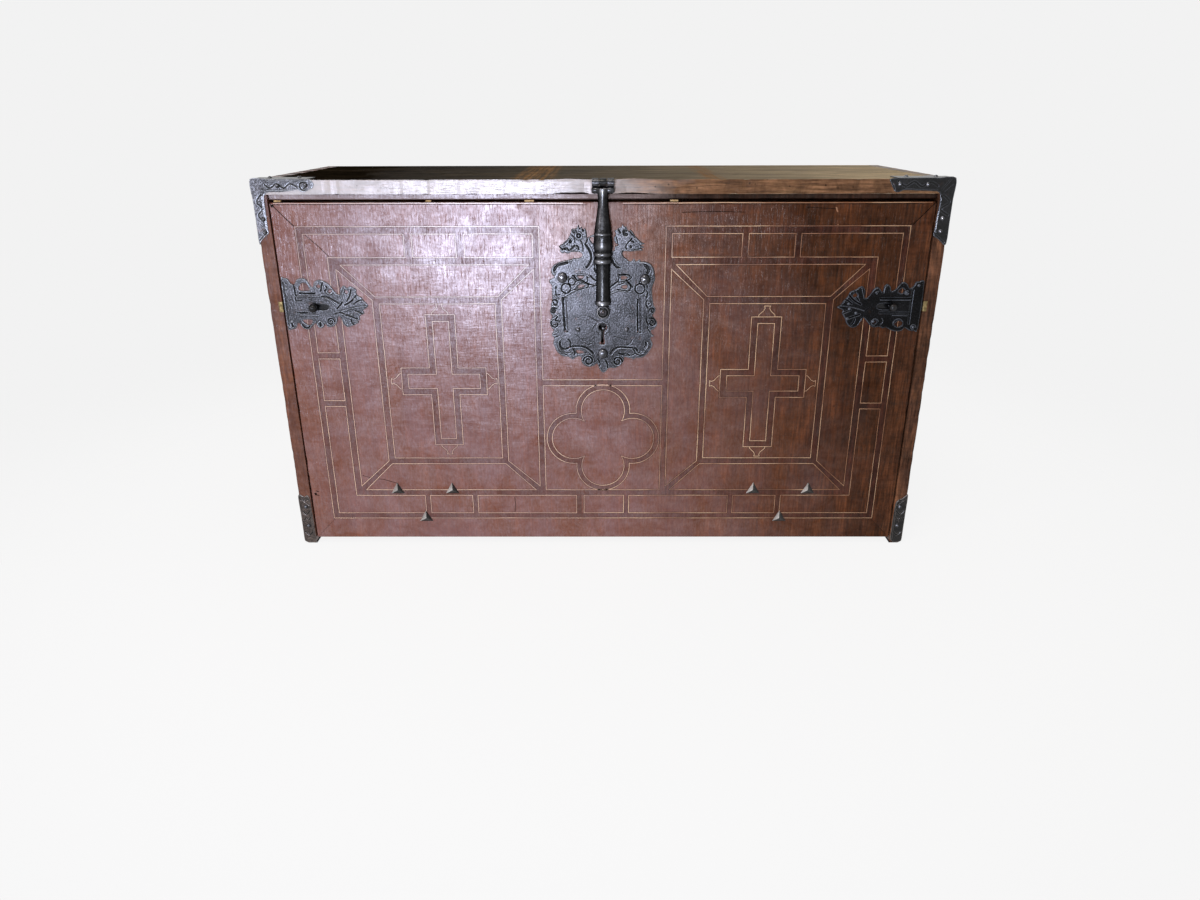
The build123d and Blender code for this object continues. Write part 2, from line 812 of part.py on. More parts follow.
for side, sign in (("left", -1), ("right", 1)):
    outer = sign * (half_width + iron)
    with BuildPart() as corner:
        with BuildSketch(front_plane):
            with BuildLine():
                Polyline(
                    (outer, board_height + iron),
                    (outer, strap_low - 6),
                    (sign * inner_x, strap_low + 8),
                    (sign * inner_x, strap_front_low - 2),
                    (sign * (strap_end_x + 10), strap_front_low),
                    (sign * strap_end_x, board_height + iron),
                    close=True,
                )
            make_face()
        extrude(amount=iron)
        x_low, x_high = sorted((sign * (strap_end_x + 12), outer))
        block(
            (x_low, front_y, board_height),
            (x_high, front_y + strap_return, board_height + iron),
        )
        x_low, x_high = sorted((sign * half_width, outer))
        block((x_low, front_y, strap_low), (x_high, front_y + strap_return, board_height))
    keep(corner.part, f"corner_strap_{side}")
    with BuildPart() as shoe:
        x_low, x_high = sorted((sign * inner_x, outer))
        with BuildSketch(front_plane) as foot:
            with Locations(((x_low + x_high) / 2, shoe_height / 2)):
                Rectangle(x_high - x_low, shoe_height)
            fillet(foot.vertices().group_by(Axis.Y)[0], foot_round)
        extrude(amount=iron)
        x_low, x_high = sorted((sign * half_width, outer))
        block((x_low, front_y, foot_round), (x_high, front_y + shoe_return, shoe_height))
        x_low, x_high = sorted(
            (sign * (inner_x + foot_round), sign * (half_width - foot_round))
        )
        block((x_low, front_y, 0), (x_high, front_y + shoe_tongue, iron))
    keep(shoe.part, f"shoe_{side}")

nail_radius = 3.6
nail_height = 2.4
nail_sphere = (nail_radius**2 + nail_height**2) / (2 * nail_height)
with BuildPart() as nail:
    Sphere(nail_sphere)
    split(bisect_by=Plane.XY.offset(nail_sphere - nail_height), keep=Keep.TOP)
nail_shape = nail.part.moved(Location((0, 0, nail_height - nail_sphere)))

nail_places = []
for sign in (-1, 1):
    for x, z in ((443, 596), (485, 595), (513.5, 547), (513.5, 528), (514, 70), (514, 34)):
        nail_places.append(Location((sign * x, front_y - iron, z), (90, 0, 0)))
    for x in (460, 505):
        nail_places.append(Location((sign * x, front_y + 28, board_height + iron), (0, 0, 0)))
    for z in (525, 580, 25, 70):
        nail_places.append(
            Location((sign * (half_width + iron), front_y + 28, z), (0, sign * 90, 0))
        )
keep(Compound(children=[nail_shape.moved(place) for place in nail_places]), "strap_nails")

# Pyramid nails of the fall
pyramid_half = 12.0
pyramid_rise = 21.0
pyramid_height = 8.0


def pyramid(x, z, lean):
    """A three-sided nail head: a triangle on the fall, drawn up to a point."""
    corners = [
        Vector(x - pyramid_half, front_y, z - pyramid_rise / 2),
        Vector(x + pyramid_half, front_y, z - pyramid_rise / 2),
        Vector(x, front_y, z + pyramid_rise / 2),
    ]
    tip = Vector(x + lean, front_y - pyramid_height, z - 1)
    faces = [Face(Wire.make_polygon(corners))]
    for start, end in zip(corners, corners[1:] + corners[:1]):
        faces.append(Face(Wire.make_polygon([start, end, tip])))
    return Solid(Shell(faces))


pyramids = [
    pyramid(sign * x, z, -sign * 1.5)
    for sign in (-1, 1)
    for x, z in ((258, 105), (352, 105), (307, 52.5))
]
keep(Compound(children=pyramids), "pyramid_nails")

# Carrying handles
handle_z = 400.0
eye_y = 46.0
eye_half = 4.0
eye_radius = 6.5
bail_pin_radius = 3.0
bail_radius = 4.5
bail_half = 37.0
bail_drop = 58.0

for side, sign in (("left", -1), ("right", 1)):
    face = sign * half_width
    axis_x = sign * (half_width + iron + 7.0)
    with BuildPart() as handle_plate:
        with BuildSketch(Plane.YZ.offset(face)):
            with Locations((0, handle_z)):
                Rectangle(2 * eye_y + 4, 26)
            with Locations((-eye_y, handle_z), (eye_y, handle_z)):
                Circle(20)
            with Locations((0, handle_z)):
                Circle(21)
        extrude(amount=sign * iron)
        for y in (-eye_y, eye_y):
            rod((axis_x, y - eye_half, handle_z), (axis_x, y + eye_half, handle_z), eye_radius)
            x_low, x_high = sorted((face, axis_x))
            block((x_low, y - eye_half, handle_z - 4), (x_high, y + eye_half, handle_z + 4))
            rod(
                (axis_x, y - eye_half, handle_z),
                (axis_x, y + eye_half, handle_z),
                bail_pin_radius + running_gap,
                mode=Mode.SUBTRACT,
            )
    keep(handle_plate.part, f"handle_plate_{side}")
    with BuildPart() as bail:
        with BuildLine():
            FilletPolyline(
                (axis_x, -bail_half, handle_z),
                (axis_x, -bail_half, handle_z - bail_drop),
                (axis_x, bail_half, handle_z - bail_drop),
                (axis_x, bail_half, handle_z),
                radius=14,
            )
        with BuildSketch(Plane(origin=(axis_x, -bail_half, handle_z), z_dir=(0, 0, -1))):
            Circle(bail_radius)
        sweep()
        for end in (-1, 1):
            with Locations((axis_x, end * bail_half, handle_z)):
                Sphere(bail_radius)
            rod(
                (axis_x, end * bail_half, handle_z),
                (axis_x, end * (eye_y + 6), handle_z),
                bail_pin_radius,
            )
    keep(bail.part, f"handle_{side}")
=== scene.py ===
import json
import math
import random

import bmesh
import bpy
import numpy as np
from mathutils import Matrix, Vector, noise


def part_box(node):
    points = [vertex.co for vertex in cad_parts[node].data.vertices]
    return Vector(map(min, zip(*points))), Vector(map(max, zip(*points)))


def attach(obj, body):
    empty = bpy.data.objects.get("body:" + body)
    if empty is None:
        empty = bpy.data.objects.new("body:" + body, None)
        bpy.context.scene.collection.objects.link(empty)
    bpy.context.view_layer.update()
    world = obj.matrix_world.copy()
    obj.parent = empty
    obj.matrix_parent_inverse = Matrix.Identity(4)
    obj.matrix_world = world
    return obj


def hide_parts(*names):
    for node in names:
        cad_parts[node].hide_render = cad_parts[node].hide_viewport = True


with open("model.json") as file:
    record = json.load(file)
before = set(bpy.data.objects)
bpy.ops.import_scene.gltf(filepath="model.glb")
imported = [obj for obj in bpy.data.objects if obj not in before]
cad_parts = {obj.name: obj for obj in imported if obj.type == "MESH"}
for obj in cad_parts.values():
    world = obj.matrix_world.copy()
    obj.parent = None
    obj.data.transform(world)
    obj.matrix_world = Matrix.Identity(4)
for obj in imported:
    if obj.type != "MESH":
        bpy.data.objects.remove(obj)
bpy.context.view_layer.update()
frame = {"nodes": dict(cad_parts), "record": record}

nodes = frame["nodes"]
mm = 0.001
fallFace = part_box("fall_board")[0].y  # the front face of the closed fall
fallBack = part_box("fall_board")[1].y
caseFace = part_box("drawer_top_left")[0].y  # the fronts of the drawers
sides = (("left", -1), ("right", 1))


# small helpers

def toLinear(hexColour):
    channels = [int(hexColour[i:i + 2], 16) / 255 for i in (1, 3, 5)]
    return tuple(c / 12.92 if c <= 0.04045 else ((c + 0.055) / 1.055) ** 2.4 for c in channels) + (1,)


def finishPiece(name, mesh, material, body, smoothAngle=None):
    mesh.validate()
    mesh.materials.clear()
    mesh.materials.append(material)
    piece = bpy.data.objects.new(name, mesh)
    bpy.context.scene.collection.objects.link(piece)
    if smoothAngle is not None:
        mesh.polygons.foreach_set("use_smooth", [True] * len(mesh.polygons))
        mesh.set_sharp_from_angle(angle=math.radians(smoothAngle))
    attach(piece, body)
    return piece


def joinPiece(name, shells, material, body, smoothAngle=None):
    # several closed shells in one piece, every shell's faces turned outwards
    vertices, faces = [], []
    for partVertices, partFaces in shells:
        shift = len(vertices)
        vertices += partVertices
        faces += [tuple(i + shift for i in face) for face in partFaces]
    mesh = bpy.data.meshes.new(name)
    mesh.from_pydata([tuple(v) for v in vertices], [], faces)
    bm = bmesh.new()
    bm.from_mesh(mesh)
    bmesh.ops.recalc_face_normals(bm, faces=bm.faces)
    bm.to_mesh(mesh)
    bm.free()
    return finishPiece(name, mesh, material, body, smoothAngle)


def addNode(tree, kind, inputs=None, stops=None, **settings):
    # an input is a number, an sRGB hex colour, a socket or another node, which gives its first output;
    # stops are (position, sRGB hex) or (position, grey level)
    node = tree.nodes.new("ShaderNode" + kind)
    for name, value in settings.items():
        setattr(node, name, value)
    for name, value in (inputs or {}).items():
        if isinstance(value, bpy.types.Node):
            value = next(output for output in value.outputs if output.enabled)
        if isinstance(value, bpy.types.NodeSocket):
            tree.links.new(value, node.inputs[name])
        else:
            node.inputs[name].default_value = toLinear(value) if isinstance(value, str) else value
    if stops:
        elements = node.color_ramp.elements
        while len(elements) < len(stops):
            elements.new(0.5)
        for element, (position, colour) in zip(elements, stops):
            element.position = position
            element.color = toLinear(colour) if isinstance(colour, str) else (colour, colour, colour, 1)
    return node


# Mix nodes: input 0 is the share, 6 the colour under and 7 the colour over it
laidOver = {"data_type": "RGBA", "blend_type": "MIX"}
multiplied = {"data_type": "RGBA", "blend_type": "MULTIPLY"}


def newMaterial(name):
    material = bpy.data.materials.new(name)
    material.use_nodes = True
    tree = material.node_tree
    tree.nodes.clear()
    shader = addNode(tree, "BsdfPrincipled")
    addNode(tree, "OutputMaterial", {"Surface": shader})
    place = addNode(tree, "TexCoord").outputs["Object"]
    return material, tree, shader, place


def addPatterns(tree, place, table):
    # a cloudy pattern for each name in the table: its size in mm on X, Y and Z, detail, roughness, distortion
    made = {}
    for name, (size, detail, roughness, distortion) in table.items():
        scale = [1 / (length * mm) for length in size]
        stretched = addNode(tree, "Mapping", {"Vector": place, "Scale": scale})
        made[name] = addNode(
            tree, "TexNoise",
            {
                "Vector": stretched, "Scale": 1.0, "Detail": detail,
                "Roughness": roughness, "Distortion": distortion,
            },
        )
    return made


def addRelief(tree, shader, layers):
    # each layer is (height, strength, depth in mm) and lies on the ones before it
    under = {}
    for height, strength, depth in layers:
        bump = addNode(tree, "Bump", {"Height": height, "Strength": strength, "Distance": depth * mm, **under})
        under = {"Normal": bump}
    tree.links.new(bump.outputs["Normal"], shader.inputs["Normal"])


# wood

polish = {
    "ragged": 0.30,  # how far the clouds push the polish's edge about, m
    "slant": 0.40,  # how far the edge moves for each metre up
    "slantedShift": 0.27,
    "levelShift": 0.15,
    "wornTint": "#ffe2d0",  # gloss of the bare, oiled wood
    "halfTint": "#ffe8de",
    "fullTint": "#f7f2fd",  # gloss of the whole wax, a little blue
    "patterns": {
        "smears": ((47.6, 47.6, 29.4), 5.0, 0.72, 0.8),  # strokes of the polishing cloth
        "flecks": ((3.03, 3.03, 8.33), 3.0, 0.7, 0.0),  # wax caught in the grain, drawn coarser to show
    },
    "drift": {"drift": ((90.9, 90.9, 142.9), 5.0, 0.62, 0.6)},  # where the painted sheen turns from lilac to warm
    # each pattern's low and high level, and the gloss that it leaves there
    "glosses": {"smears": (0.3, 0.7, 0.42, 1.4), "flecks": (0.34, 0.66, 0.62, 1.36)},
}


def addPolishAndSheen(tree, shader, place, cloud, colour, look):
    # full on the left of the front, with the colour mixed a little towards a painted sheen, and worn thin
    # towards its right
    rubbedAndSheen = look.get("rubbedAndSheen")
    if rubbedAndSheen is None:
        shader.inputs["Specular IOR Level"].default_value = look["shine"]
        shader.inputs["Specular Tint"].default_value = toLinear(polish["wornTint"])
        return colour
    pattern = addPatterns(tree, place, polish["patterns"])
    split = addNode(tree, "SeparateXYZ", {"Vector": place})
    run = addNode(
        tree, "Math", {0: cloud, 1: polish["ragged"], 2: split.outputs["X"]}, operation="MULTIPLY_ADD",
    )
    shift = polish["levelShift"]
    if rubbedAndSheen["slanted"]:
        run = addNode(
            tree, "Math", {0: split.outputs["Z"], 1: polish["slant"], 2: run}, operation="MULTIPLY_ADD",
        )
        shift = polish["slantedShift"]
    share = addNode(tree, "MapRange", {0: run, 1: rubbedAndSheen["right"] + shift, 2: rubbedAndSheen["left"] + shift})
    shine = addNode(tree, "MapRange", {0: share, 3: look["shine"], 4: rubbedAndSheen["shine"]})
    for name, levels in polish["glosses"].items():
        uneven = addNode(tree, "MapRange", dict(enumerate((pattern[name], *levels))))
        shine = addNode(tree, "Math", {0: shine, 1: uneven}, operation="MULTIPLY")
    tree.links.new(shine.outputs[0], shader.inputs["Specular IOR Level"])
    tint = addNode(
        tree, "ValToRGB", {0: share},
        [(0.0, polish["wornTint"]), (0.45, polish["halfTint"]), (1.0, polish["fullTint"])],
    )
    tree.links.new(tint.outputs[0], shader.inputs["Specular Tint"])
    curved = addNode(tree, "Math", {0: share, 1: rubbedAndSheen.get("curve", 1.0)}, operation="POWER")
    # the painted sheen's colour, drifting from lilac to warm where a warm colour is given
    sheenColour = rubbedAndSheen["colour"]
    if "warm" in rubbedAndSheen:
        drift = addPatterns(tree, place, polish["drift"])["drift"]
        sheenColour = addNode(tree, "ValToRGB", {0: drift}, [(0.38, rubbedAndSheen["warm"]), (0.62, rubbedAndSheen["colour"])])
    paintedSheen = addNode(tree, "MapRange", {0: curved, 4: rubbedAndSheen["paintedSheen"]})
    return addNode(tree, "Mix", {0: paintedSheen, 6: colour, 7: sheenColour}, **laidOver)


woodGrain = {
    "patterns": {
        "cloud": ((181.8, 181.8, 142.9), 4.0, 0.62, 0.5),  # broad light and dark of the board
        "mottle": ((20.83, 20.83, 27.78), 5.0, 0.7, 0.6),  # stains and handling
        "swell": ((111.1, 111.1, 111.1), 2.0, 0.5, 0.0),  # slow waves left by the plane
    },
    "dryPatterns": {
        "lines": ((6.25, 200, 200), 3.0, 0.6, 0.0),  # breaks across a painted amber reflection
        "weathered": ((250, 38.5, 38.5), 5.0, 0.65, 0.8),
    },
    "figureStretch": 5.556,  # growth rings run this many times longer along the grain
    "poreStretch": 1.111,  # pores run this many times longer than fibres
    "knocks": 38.46,  # mm from one small dark knock to the next
    "wormHoles": 16.13,  # mm
    # the shades of each pattern, from its low levels to its high ones
    "shades": {
        "cloud": [(0.32, 0.62), (0.5, 0.9), (0.70, 1.12)],
        "mottle": [(0.34, 0.5), (0.5, 1.0), (0.66, 1.4)],
        "ripple": [(0.3, 0.72), (0.7, 1.24)],
        "fibre": [(0.34, 0.45), (0.52, 0.98), (0.68, 1.5)],
        "pore": [(0.30, 0.35), (0.42, 1.0)],
        "knocks": [(0.035, 0.25), (0.075, 1.0)],
        "curl": [(0.4, 0.62), (0.6, 1.3)],
        "weathered": [(0.36, 0.55), (0.64, 1.3)],
        "wormHoles": [(0.07, 0.22), (0.12, 1.0)],
    },
    "stainDepth": 0.75,
    "rippleDepth": 0.7,
    "knockDepth": 0.7,
    "weatheredDepth": 0.75,
    "holeDepth": 0.8,
    "reflectionAmber": "#94704a",
    # how strongly each pattern stands up, and how high in mm
    "relief": {"swell": (0.35, 4.0), "fibre": (0.2, 0.7), "ripple": (0.2, 0.9), "pore": (0.4, 0.4)},
}
curledGrain = {
    "middle": (0.14, -0.2, 0.53),
    "outer": 0.13,  # m from the middle, where the curls begin
    "inner": 0.04,  # and where they are full
    "depth": 0.8,
    "lean": 38,
    "size": (45.5, 45.5, 7.69),  # mm
}


def woodColour(tree, place, look):
    def alongGrain(size, times):
        sizes = [size] * 3
        sizes[look["grainAxis"]] *= times
        return sizes

    pattern = addPatterns(tree, place, {
        **woodGrain["patterns"],
        "figure": (alongGrain(look["figure"], woodGrain["figureStretch"]), 4.0, 0.6, 0.9),
        "fibre": (alongGrain(look["fibre"], look["stretch"]), 3.0, 0.6, 0.0),
        "pore": (alongGrain(look["pore"], look["stretch"] * woodGrain["poreStretch"]), 2.0, 0.5, 0.0),
        "ripple": (look["ripple"], 3.0, 0.6, 0.4),
    })
    pattern["knocks"] = addNode(tree, "TexVoronoi", {"Vector": place, "Scale": 1 / (woodGrain["knocks"] * mm)})
    coloured = addNode(
        tree, "ValToRGB", {0: pattern["figure"]},
        [(0.30, look["dark"]), (0.50, look["mid"]), (0.72, look["light"])],
    )
    shades = {}
    for name, depth in (
        ("cloud", look["cloudDepth"]),
        ("mottle", woodGrain["stainDepth"]),
        ("ripple", woodGrain["rippleDepth"]),
        ("fibre", look["streakDepth"]),
        ("pore", look["poreDepth"]),
        ("knocks", woodGrain["knockDepth"]),
    ):
        shades[name] = addNode(tree, "ValToRGB", {0: pattern[name]}, woodGrain["shades"][name])
        coloured = addNode(tree, "Mix", {0: depth, 6: coloured, 7: shades[name]}, **multiplied)
    if "curl" in look:
        # a patch where the fibres wave
        curl = look["curl"]
        leaning = addNode(tree, "Mapping", {
            "Vector": place,
            "Rotation": (0, math.radians(curl["lean"]), 0),
            "Scale": [1 / (length * mm) for length in curl["size"]],
        })
        curls = addNode(tree, "TexNoise", {"Vector": leaning, "Scale": 1.0, "Detail": 2.0})
        away = addNode(tree, "VectorMath", {0: place, 1: curl["middle"]}, operation="DISTANCE")
        near = addNode(tree, "MapRange", {0: away, 1: curl["outer"], 2: curl["inner"], 4: curl["depth"]})
        waved = addNode(tree, "ValToRGB", {0: curls}, woodGrain["shades"]["curl"])
        coloured = addNode(tree, "Mix", {0: near, 6: coloured, 7: waved}, **multiplied)
    return coloured, pattern, shades


def dryOutWithReflections(tree, place, coloured, fibreShade, dry):
    # two painted amber reflections across a board made pale by painted sheen, and its fibres showing again
    # over that sheen
    pattern = addPatterns(tree, place, woodGrain["dryPatterns"])
    across = addNode(tree, "SeparateXYZ", {"Vector": place}).outputs["X"]
    for start, end in dry["reflectionStreaks"]:
        middle, half = (start + end) / 2, (end - start) / 2
        away = addNode(tree, "Math", {0: across, 1: middle}, operation="SUBTRACT")
        gap = addNode(tree, "Math", {0: away}, operation="ABSOLUTE")
        inside = addNode(tree, "MapRange", {0: gap, 1: half, 2: half * 0.5, 4: 0.95})
        broken = addNode(tree, "MapRange", {0: pattern["lines"], 1: 0.40, 2: 0.58, 3: 0.12})
        patchy = addNode(tree, "Math", {0: inside, 1: broken}, operation="MULTIPLY")
        coloured = addNode(tree, "Mix", {0: patchy, 6: coloured, 7: woodGrain["reflectionAmber"]}, **laidOver)
    weathered = addNode(tree, "ValToRGB", {0: pattern["weathered"]}, woodGrain["shades"]["weathered"])
    for depth, shade in ((dry["regrain"], fibreShade), (woodGrain["weatheredDepth"], weathered)):
        coloured = addNode(tree, "Mix", {0: depth, 6: coloured, 7: shade}, **multiplied)
    return coloured


def makeWood(name, look):
    material, tree, shader, place = newMaterial(name)
    coloured, pattern, shades = woodColour(tree, place, look)
    coloured = addPolishAndSheen(tree, shader, place, pattern["cloud"], coloured, look)
    if "behind" in look:
        # another wood behind a plane across the depth
        other = woodColour(tree, place, look["behind"])[0]
        depth = addNode(tree, "SeparateXYZ", {"Vector": place}).outputs["Y"]
        past = addNode(tree, "Math", {0: depth, 1: look["behindFrom"]}, operation="GREATER_THAN")
        coloured = addNode(tree, "Mix", {0: past, 6: coloured, 7: other}, **laidOver)
    if "dry" in look:
        coloured = dryOutWithReflections(tree, place, coloured, shades["fibre"], look["dry"])
    if "pits" in look:
        worm = addNode(tree, "TexVoronoi", {"Vector": place, "Scale": 1 / (woodGrain["wormHoles"] * mm)})
        holes = addNode(tree, "ValToRGB", {0: worm}, woodGrain["shades"]["wormHoles"])
        coloured = addNode(tree, "Mix", {0: woodGrain["holeDepth"], 6: coloured, 7: holes}, **multiplied)
    gloss = addNode(
        tree, "MapRange", {0: pattern["cloud"], 1: 0.3, 2: 0.7, 3: look["roughLow"], 4: look["roughHigh"]}
    )
    tree.links.new(coloured.outputs[2], shader.inputs["Base Color"])
    tree.links.new(gloss.outputs["Result"], shader.inputs["Roughness"])
    heights = {**pattern, "pore": shades["pore"]}
    addRelief(tree, shader, [(heights[name], *rise) for name, rise in woodGrain["relief"].items()])
    return material


woodLook = {
    "grainAxis": 2,
    "dark": "#331b0e",
    "mid": "#462613",
    "light": "#5e351d",
    "fibre": 3.333,  # mm across; a walnut fibre bundle is about 0.3 mm, drawn coarser to show
    "pore": 1.111,  # mm across, about four times a real pore
    "ripple": (23.8, 23.8, 3.333),  # mm, the faint cross figure
    "stretch": 16.67,  # how many times longer along the grain
    "figure": 21.74,  # mm across the broad bands of the growth rings
    "cloudDepth": 0.8,
    "streakDepth": 1.0,
    "poreDepth": 0.8,
    "roughLow": 0.25,
    "roughHigh": 0.34,
    "shine": 0.18,
}
# the fall's polish: full on the left, where the colour is mixed towards a painted lilac sheen, and worn thin
# to the right
frontPolishAndSheen = {
    "left": -0.06,
    "right": 0.40,
    "shine": 1.0,
    "paintedSheen": 0.42,
    "colour": "#a6716a",
    "warm": "#97512d",
    "slanted": True,
}
innerFace = {**woodLook, "dark": "#3c2418", "mid": "#5a3924", "light": "#784f33"}
frontLook = {
    **woodLook,
    "rubbedAndSheen": frontPolishAndSheen,
    "curl": curledGrain,
    "behind": innerFace,
    "behindFrom": fallBack - 0.4 * mm,
}
waxedWalnut = makeWood("waxedWalnut", frontLook)  # deep red-brown with fine upright streaks, under a painted lilac sheen on the left
battenWalnut = makeWood(
    "battenWalnut", {**frontLook, "dark": "#3c2114", "mid": "#4c2b19", "light": "#613a23"}
)  # the same wood from another board, a little greyer, under the same painted sheen
carcassWalnut = makeWood("carcassWalnut", {
    **woodLook,
    "dark": "#33211a",
    "mid": "#5a3b2a",
    "light": "#7c5238",
    "roughHigh": 0.5,
    "rubbedAndSheen": {**frontPolishAndSheen, "shine": 0.42, "paintedSheen": 0.22, "colour": "#a47668"},
})  # browner and drier, with worn patches and a painted sheen towards the left
lidWalnut = makeWood("lidWalnut", {
    **woodLook,
    "grainAxis": 0,
    "dark": "#1c160e",
    "mid": "#2a231a",
    "light": "#3e3429",
    "shine": 0.0,
    "rubbedAndSheen": {
        "left": 0.46,
        "right": -0.40,
        "shine": 0.1,
        "paintedSheen": 1.0,
        "colour": "#e0cba8",
        "curve": 2.5,
        "slanted": False,
    },
    "roughLow": 0.7,
    "roughHigh": 0.85,
    # two painted amber reflections across the lid, and its grain shown again over the painted sheen
    "dry": {"reflectionStreaks": [(-0.142, -0.070), (0.152, 0.190)], "regrain": 0.7},
})  # almost black on the left, dry with a painted pale sheen on the right, and two painted amber reflections across
lidEdgeWalnut = makeWood("lidEdgeWalnut", {
    **woodLook,
    "grainAxis": 0,
    "dark": "#5c402c",
    "mid": "#7e5b40",
    "light": "#9c7754",
    "cloudDepth": 0.4,
    "pits": True,
    "rubbedAndSheen": {
        "left": -0.06,
        "right": 0.14,
        "shine": 1.0,
        "paintedSheen": 0.7,
        "colour": "#d0ccca",
        "slanted": False,
    },
})  # rubbed bare by hands, with a painted pale sheen on its left half, and a few worm holes
railWalnut = makeWood("railWalnut", {
    **woodLook,
    "dark": "#1c110c",
    "mid": "#2c1b13",
    "light": "#3c271c",
    "rubbedAndSheen": {
        "left": -0.10,
        "right": 0.16,
        "shine": 1.0,
        "paintedSheen": 0.6,
        "colour": "#a88f88",
        "slanted": False,
    },
})  # painted dark as the shade under the lid, where the fall shuts against it, with a painted pale sheen on its left
bandWood = makeWood("bandWood", {
    **woodLook,
    "dark": "#26120c",
    "mid": "#3e2017",
    "light": "#553023",
    "cloudDepth": 0.6,
    "rubbedAndSheen": {**frontPolishAndSheen, "shine": 0.84, "paintedSheen": 0.25},
})  # stained inlay, a shade darker than the field, with the field's painted sheen on the left
seamWaxAndShadow = makeWood("seamWaxAndShadow", {
    **woodLook,
    "dark": "#120907",
    "mid": "#200f0b",
    "light": "#331911",
    "rubbedAndSheen": {**frontPolishAndSheen, "shine": 0.5, "paintedSheen": 0.12},
})  # dark wax in the hairline joints beside the stringing, drawn wide as a painted shadow beside each line, with a little painted sheen
caseWalnut = makeWood(
    "caseWalnut", {**woodLook, "grainAxis": 0, "dark": "#4a2e20", "mid": "#6b462f", "light": "#8a6142"}
)  # lighter, kept from the sun inside the case
pineLook = {
    **woodLook, "grainAxis": 1, "dark": "#8a6844", "mid": "#ab8960", "light": "#c6a880", "cloudDepth": 0.5,
}
frontThick = 14 * mm
drawerWood = makeWood("drawerWood", {
    **woodLook,
    "grainAxis": 0,
    "dark": "#4a2c1d",
    "mid": "#6b432b",
    "light": "#8c6040",
    "behind": pineLook,
    "behindFrom": caseFace + frontThick - 0.1 * mm,
})  # walnut fronts on pine trays
boxwood = makeWood(
    "boxwood", {**woodLook, "dark": "#8a6238", "mid": "#b08852", "light": "#cda66c", "streakDepth": 0.4}
)  # yellow and close-grained, for the turned knobs
insideBand = makeWood(
    "insideBand", {**woodLook, "dark": "#1c110b", "mid": "#2c1b12", "light": "#3e281b"}
)  # stained black-brown inlay inside
blackWood = makeWood(
    "blackWood", {**woodLook, "dark": "#0d0806", "mid": "#140c09", "light": "#21140e", "shine": 0.05}
)  # the dark of open joints and cracks
boneLine = makeWood("boneLine", {
    **woodLook,
    "dark": "#a8875a",
    "mid": "#c9ab7d",
    "light": "#dcc49c",
    "streakDepth": 0.3,
    "poreDepth": 0.3,
})  # cleaner line wood, kept from the light inside

stringingLook = {
    "patterns": {
        "patch": ((71.4, 71.4, 71.4), 3.0, 0.6, 0.0),
        "grit": ((3.333, 3.333, 3.333), 2.0, 0.5, 0.0),  # drawn coarser than the wood's own grit
    },
    "tones": [(0.34, "#7c5039"), (0.46, "#a97a5a"), (0.62, "#dfb68f")],
    "gritShades": [(0.3, 0.7), (0.6, 1.1)],
    "gritDepth": 0.6,
    "rightTone": "#6b4128",  # darker towards the right
    "sheenLit": "#d0a692",  # painted sheen: lighter towards the left
    "sheenWashed": "#8f716e",  # painted sheen: washed mauve towards the upper left
    # from here to there in metres, and the share at each
    "rightwards": (0.1, 0.45, 0.12, 0.45),
    "leftwards": (0.12, -0.12, 0.0, 1.0),
    "upwards": (0.26, 0.44, 0.0, 0.5),
    "sheenLitShare": 0.5,
    "shine": (frontPolishAndSheen["right"], frontPolishAndSheen["left"], 0.2, 1.1),
    "rough": 0.32,
}


def makeStringing(look):
    # pale line wood that has darkened unevenly, so stretches of it nearly vanish
    material, tree, shader, place = newMaterial("paleStringing")
    pattern = addPatterns(tree, place, look["patterns"])
    split = addNode(tree, "SeparateXYZ", {"Vector": place})
    across = split.outputs["X"]
    tone = addNode(tree, "ValToRGB", {0: pattern["patch"]}, look["tones"])
    grit = addNode(tree, "ValToRGB", {0: pattern["grit"]}, look["gritShades"])
    coloured = addNode(tree, "Mix", {0: look["gritDepth"], 6: tone, 7: grit}, **multiplied)
    rightwards = addNode(tree, "MapRange", dict(enumerate((across, *look["rightwards"]))))
    leftwards = addNode(tree, "MapRange", dict(enumerate((across, *look["leftwards"]))))
    upwards = addNode(tree, "MapRange", dict(enumerate((split.outputs["Z"], *look["upwards"]))))
    # painted sheen on the lines: lighter towards the left and washed mauve towards the upper left
    sheenLit = addNode(tree, "Math", {0: leftwards, 1: look["sheenLitShare"]}, operation="MULTIPLY")
    sheenWashed = addNode(tree, "Math", {0: leftwards, 1: upwards}, operation="MULTIPLY")
    for share, colour in ((rightwards, look["rightTone"]), (sheenLit, look["sheenLit"]), (sheenWashed, look["sheenWashed"])):
        coloured = addNode(tree, "Mix", {0: share, 6: coloured, 7: colour}, **laidOver)
    tree.links.new(coloured.outputs[2], shader.inputs["Base Color"])
    shader.inputs["Roughness"].default_value = look["rough"]
    shine = addNode(tree, "MapRange", dict(enumerate((across, *look["shine"]))))
    tree.links.new(shine.outputs["Result"], shader.inputs["Specular IOR Level"])
    return material


stringing = makeStringing(stringingLook)


# metal

